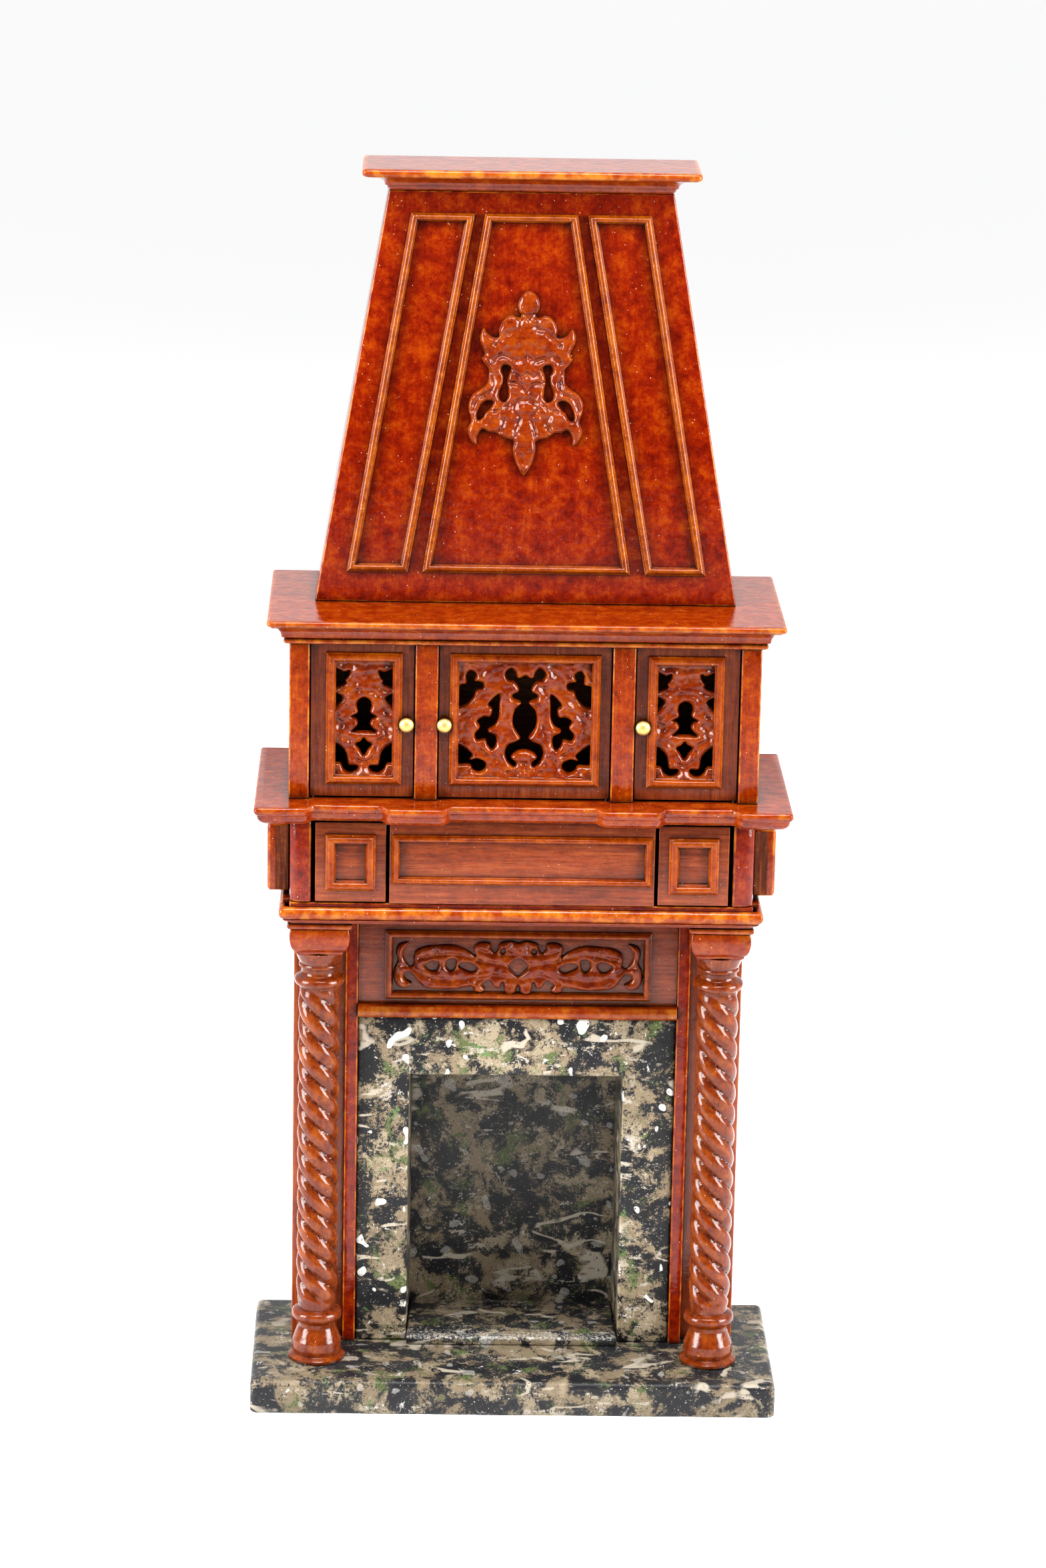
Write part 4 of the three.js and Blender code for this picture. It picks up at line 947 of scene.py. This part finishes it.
CARTOUCHE_FURROWS = [
    [(0.2, 56.0, 0.3), (1.6, 55.3, 0.4), (1.9, 53.4, 0.4), (3.4, 53.1, 0.4), (4.9, 51.7, 0.35),
     (6.4, 50.2, 0.3)],
    [(0.1, 48.2, 0.3), (1.5, 47.2, 0.45), (3.0, 47.6, 0.4), (5.0, 48.2, 0.4), (6.6, 47.0, 0.3)],
    [(0.1, 41.2, 0.3), (1.4, 42.6, 0.4), (3.3, 43.0, 0.3)],
    [(0.1, 44.8, 0.3), (1.5, 44.2, 0.35), (2.9, 45.4, 0.3)],
    [(0.1, 39.6, 0.45), (1.5, 39.4, 0.35), (2.2, 37.8, 0.35), (1.1, 36.2, 0.4), (1.8, 34.2, 0.35),
     (2.0, 32.8, 0.3)],
    [(3.4, 38.8, 0.3), (4.6, 37.2, 0.4), (4.2, 35.2, 0.4), (4.9, 33.7, 0.3)],
    [(4.9, 37.8, 0.3), (6.2, 37.4, 0.25)],
    [(7.0, 45.0, 0.3), (6.4, 43.0, 0.35), (7.0, 41.2, 0.35), (9.3, 39.9, 0.35), (10.2, 37.6, 0.3)],
    [(1.2, 56.2, 0.3), (0.0, 55.2, 0.35)]]


def hood():
    low, high = box("hood_front")
    overhang = 5.2  # of the crown, over the top of the hood
    lean = math.atan2(box("crown")[0].y + overhang - low.y, high.z - low.z)
    foot = Vector((0, low.y, low.z))
    up, out = Vector((0, math.sin(lean), math.cos(lean))), Vector((0, -math.cos(lean), math.sin(lean)))

    def on_face(u, v, h):
        return foot + Vector((u, 0, 0)) + up * v + out * h

    board("hood_front", MAHOGANY, up, bevel=0.35)
    board("hood_back", RAW, bevel=0.15)
    for side in SIDES:
        board(f"hood_side_{side}", MAHOGANY, "Z")
    base, top = 5.9, 75.5
    centre = [(-20.3, base), (20.3, base), (9.0, top), (-9.0, top)]
    right = [(23.1, base), (35.0, base), (23.3, top), (10.9, top)]
    left = [(-u, v) for u, v in (right[1], right[0], right[3], right[2])]
    for side, corners in (("centre", centre), ("right", right), ("left", left)):
        stick_frame(f"hood_moulding_{side}", corners, 1.65, 1.25, on_face,
                    nodes=[f"hood_panel_frame_{side}"], material=HOOD_STICK)
    aside, askew, middle = -0.5, 0.018, 43  # the cartouche was glued on a little out of true
    carving("hood_cartouche", CARTOUCHE_HALF, CARTOUCHE_HOLES, CARTOUCHE_FURROWS, 1.35,
            lambda u, v, h: on_face(u + aside + askew * (v - middle), v, h), ["hood_carving"])


def carcase():
    for side in SIDES:
        board(f"jamb_{side}", DARK, "Z", bevel=0.25)
        board(f"stile_{side}", MAHOGANY, "Z", bevel=0.3)


hearth()
firebox()
carcase()
for side in SIDES:
    column(side)
    capital(side)
frieze()
lower_shelf()
drawer_band()
mantel_shelf()
cupboard()
cornice()
hood()
crown()

# ---- studio
FLOOR = 8.0  # metres from the middle to an edge
floor_mesh = bpy.data.meshes.new("floor")
floor_mesh.from_pydata([(x * FLOOR, y * FLOOR, 0) for x, y in ((-1, -1), (1, -1), (1, 1), (-1, 1))], [],
                       [(0, 1, 2, 3)])
floor_mesh.materials.append(studio_paper("studio_paper"))
floor = shown("floor", floor_mesh)

world = bpy.data.worlds.new("studio")
world.use_nodes = True
sky = world.node_tree
heading = sky.nodes.new("ShaderNodeTexCoord")
parts = sky.nodes.new("ShaderNodeSeparateXYZ")
sky.links.new(heading.outputs["Generated"], parts.inputs[0])
# light from above, from behind the piece, and from everywhere but straight behind the camera
GLOWS = (("Z", (0, 1), (0, 0.34)), ("Y", (0, 1), (0, 0.25)), ("Y", (-0.9, -0.2), (0.06, 0.88)))
brightness = None
for axis, span, glow in GLOWS:
    part = sky.nodes.new("ShaderNodeMapRange")
    for socket, value in zip(("From Min", "From Max", "To Min", "To Max"), span + glow):
        part.inputs[socket].default_value = value
    sky.links.new(parts.outputs[axis], part.inputs["Value"])
    total = sky.nodes.new("ShaderNodeMath")
    sky.links.new(part.outputs[0], total.inputs[0])
    total.inputs[1].default_value = 0
    if brightness:
        sky.links.new(brightness, total.inputs[1])
    brightness = total.outputs[0]
sky.links.new(brightness, sky.nodes["Background"].inputs["Strength"])
sky.nodes["Background"].inputs["Color"].default_value = (1, 1, 1, 1)
scene.world = world


def softbox(name, place, aimed_at, width, height, power):
    """A rectangular light, in metres and watts, turned towards a height on the piece's middle line."""
    light = bpy.data.lights.new(name, "AREA")
    light.shape, light.size, light.size_y, light.energy = "RECTANGLE", width, height, power
    light.spread = math.radians(75)
    lamp = shown(name, light)
    lamp.location = place
    aim = Vector((0, 0, aimed_at)) - Vector(place)
    lamp.rotation_euler = aim.to_track_quat("-Z", "Y").to_euler()


softbox("key_left", (-0.73, -0.31, 0.36), 0.15, 0.42, 0.6, 5.1)
softbox("key_right", (0.73, -0.31, 0.36), 0.15, 0.42, 0.6, 5.1)
softbox("top", (0, -0.35, 0.95), 0.1, 0.6, 0.3, 3)

# The camera stands a metre off, a little left of centre, and looks down at the piece.
CAMERA_PLACE = (-23.416, -977.3, 394.633)
YAW, PITCH, ROLL = 0.0242, 0.2690, 0.0191
LENS, SENSOR = 117.82, 36
ahead = Vector((math.sin(YAW) * math.cos(PITCH), math.cos(YAW) * math.cos(PITCH), -math.sin(PITCH)))
level = Vector((math.cos(YAW), -math.sin(YAW), 0))
above = level.cross(ahead)
right = math.cos(ROLL) * level + math.sin(ROLL) * above
over = math.cos(ROLL) * above - math.sin(ROLL) * level
camera = shown("camera", bpy.data.cameras.new("camera"))
camera.data.lens, camera.data.sensor_width = LENS, SENSOR
camera.data.clip_start, camera.data.clip_end = 0.05, 30
turn = Matrix((right, over, -ahead)).transposed().to_4x4()
camera.matrix_world = Matrix.Translation(Vector(CAMERA_PLACE) * MM) @ turn
scene.camera = camera
scene.view_settings.view_transform = "Standard"
scene.view_settings.look = "None"
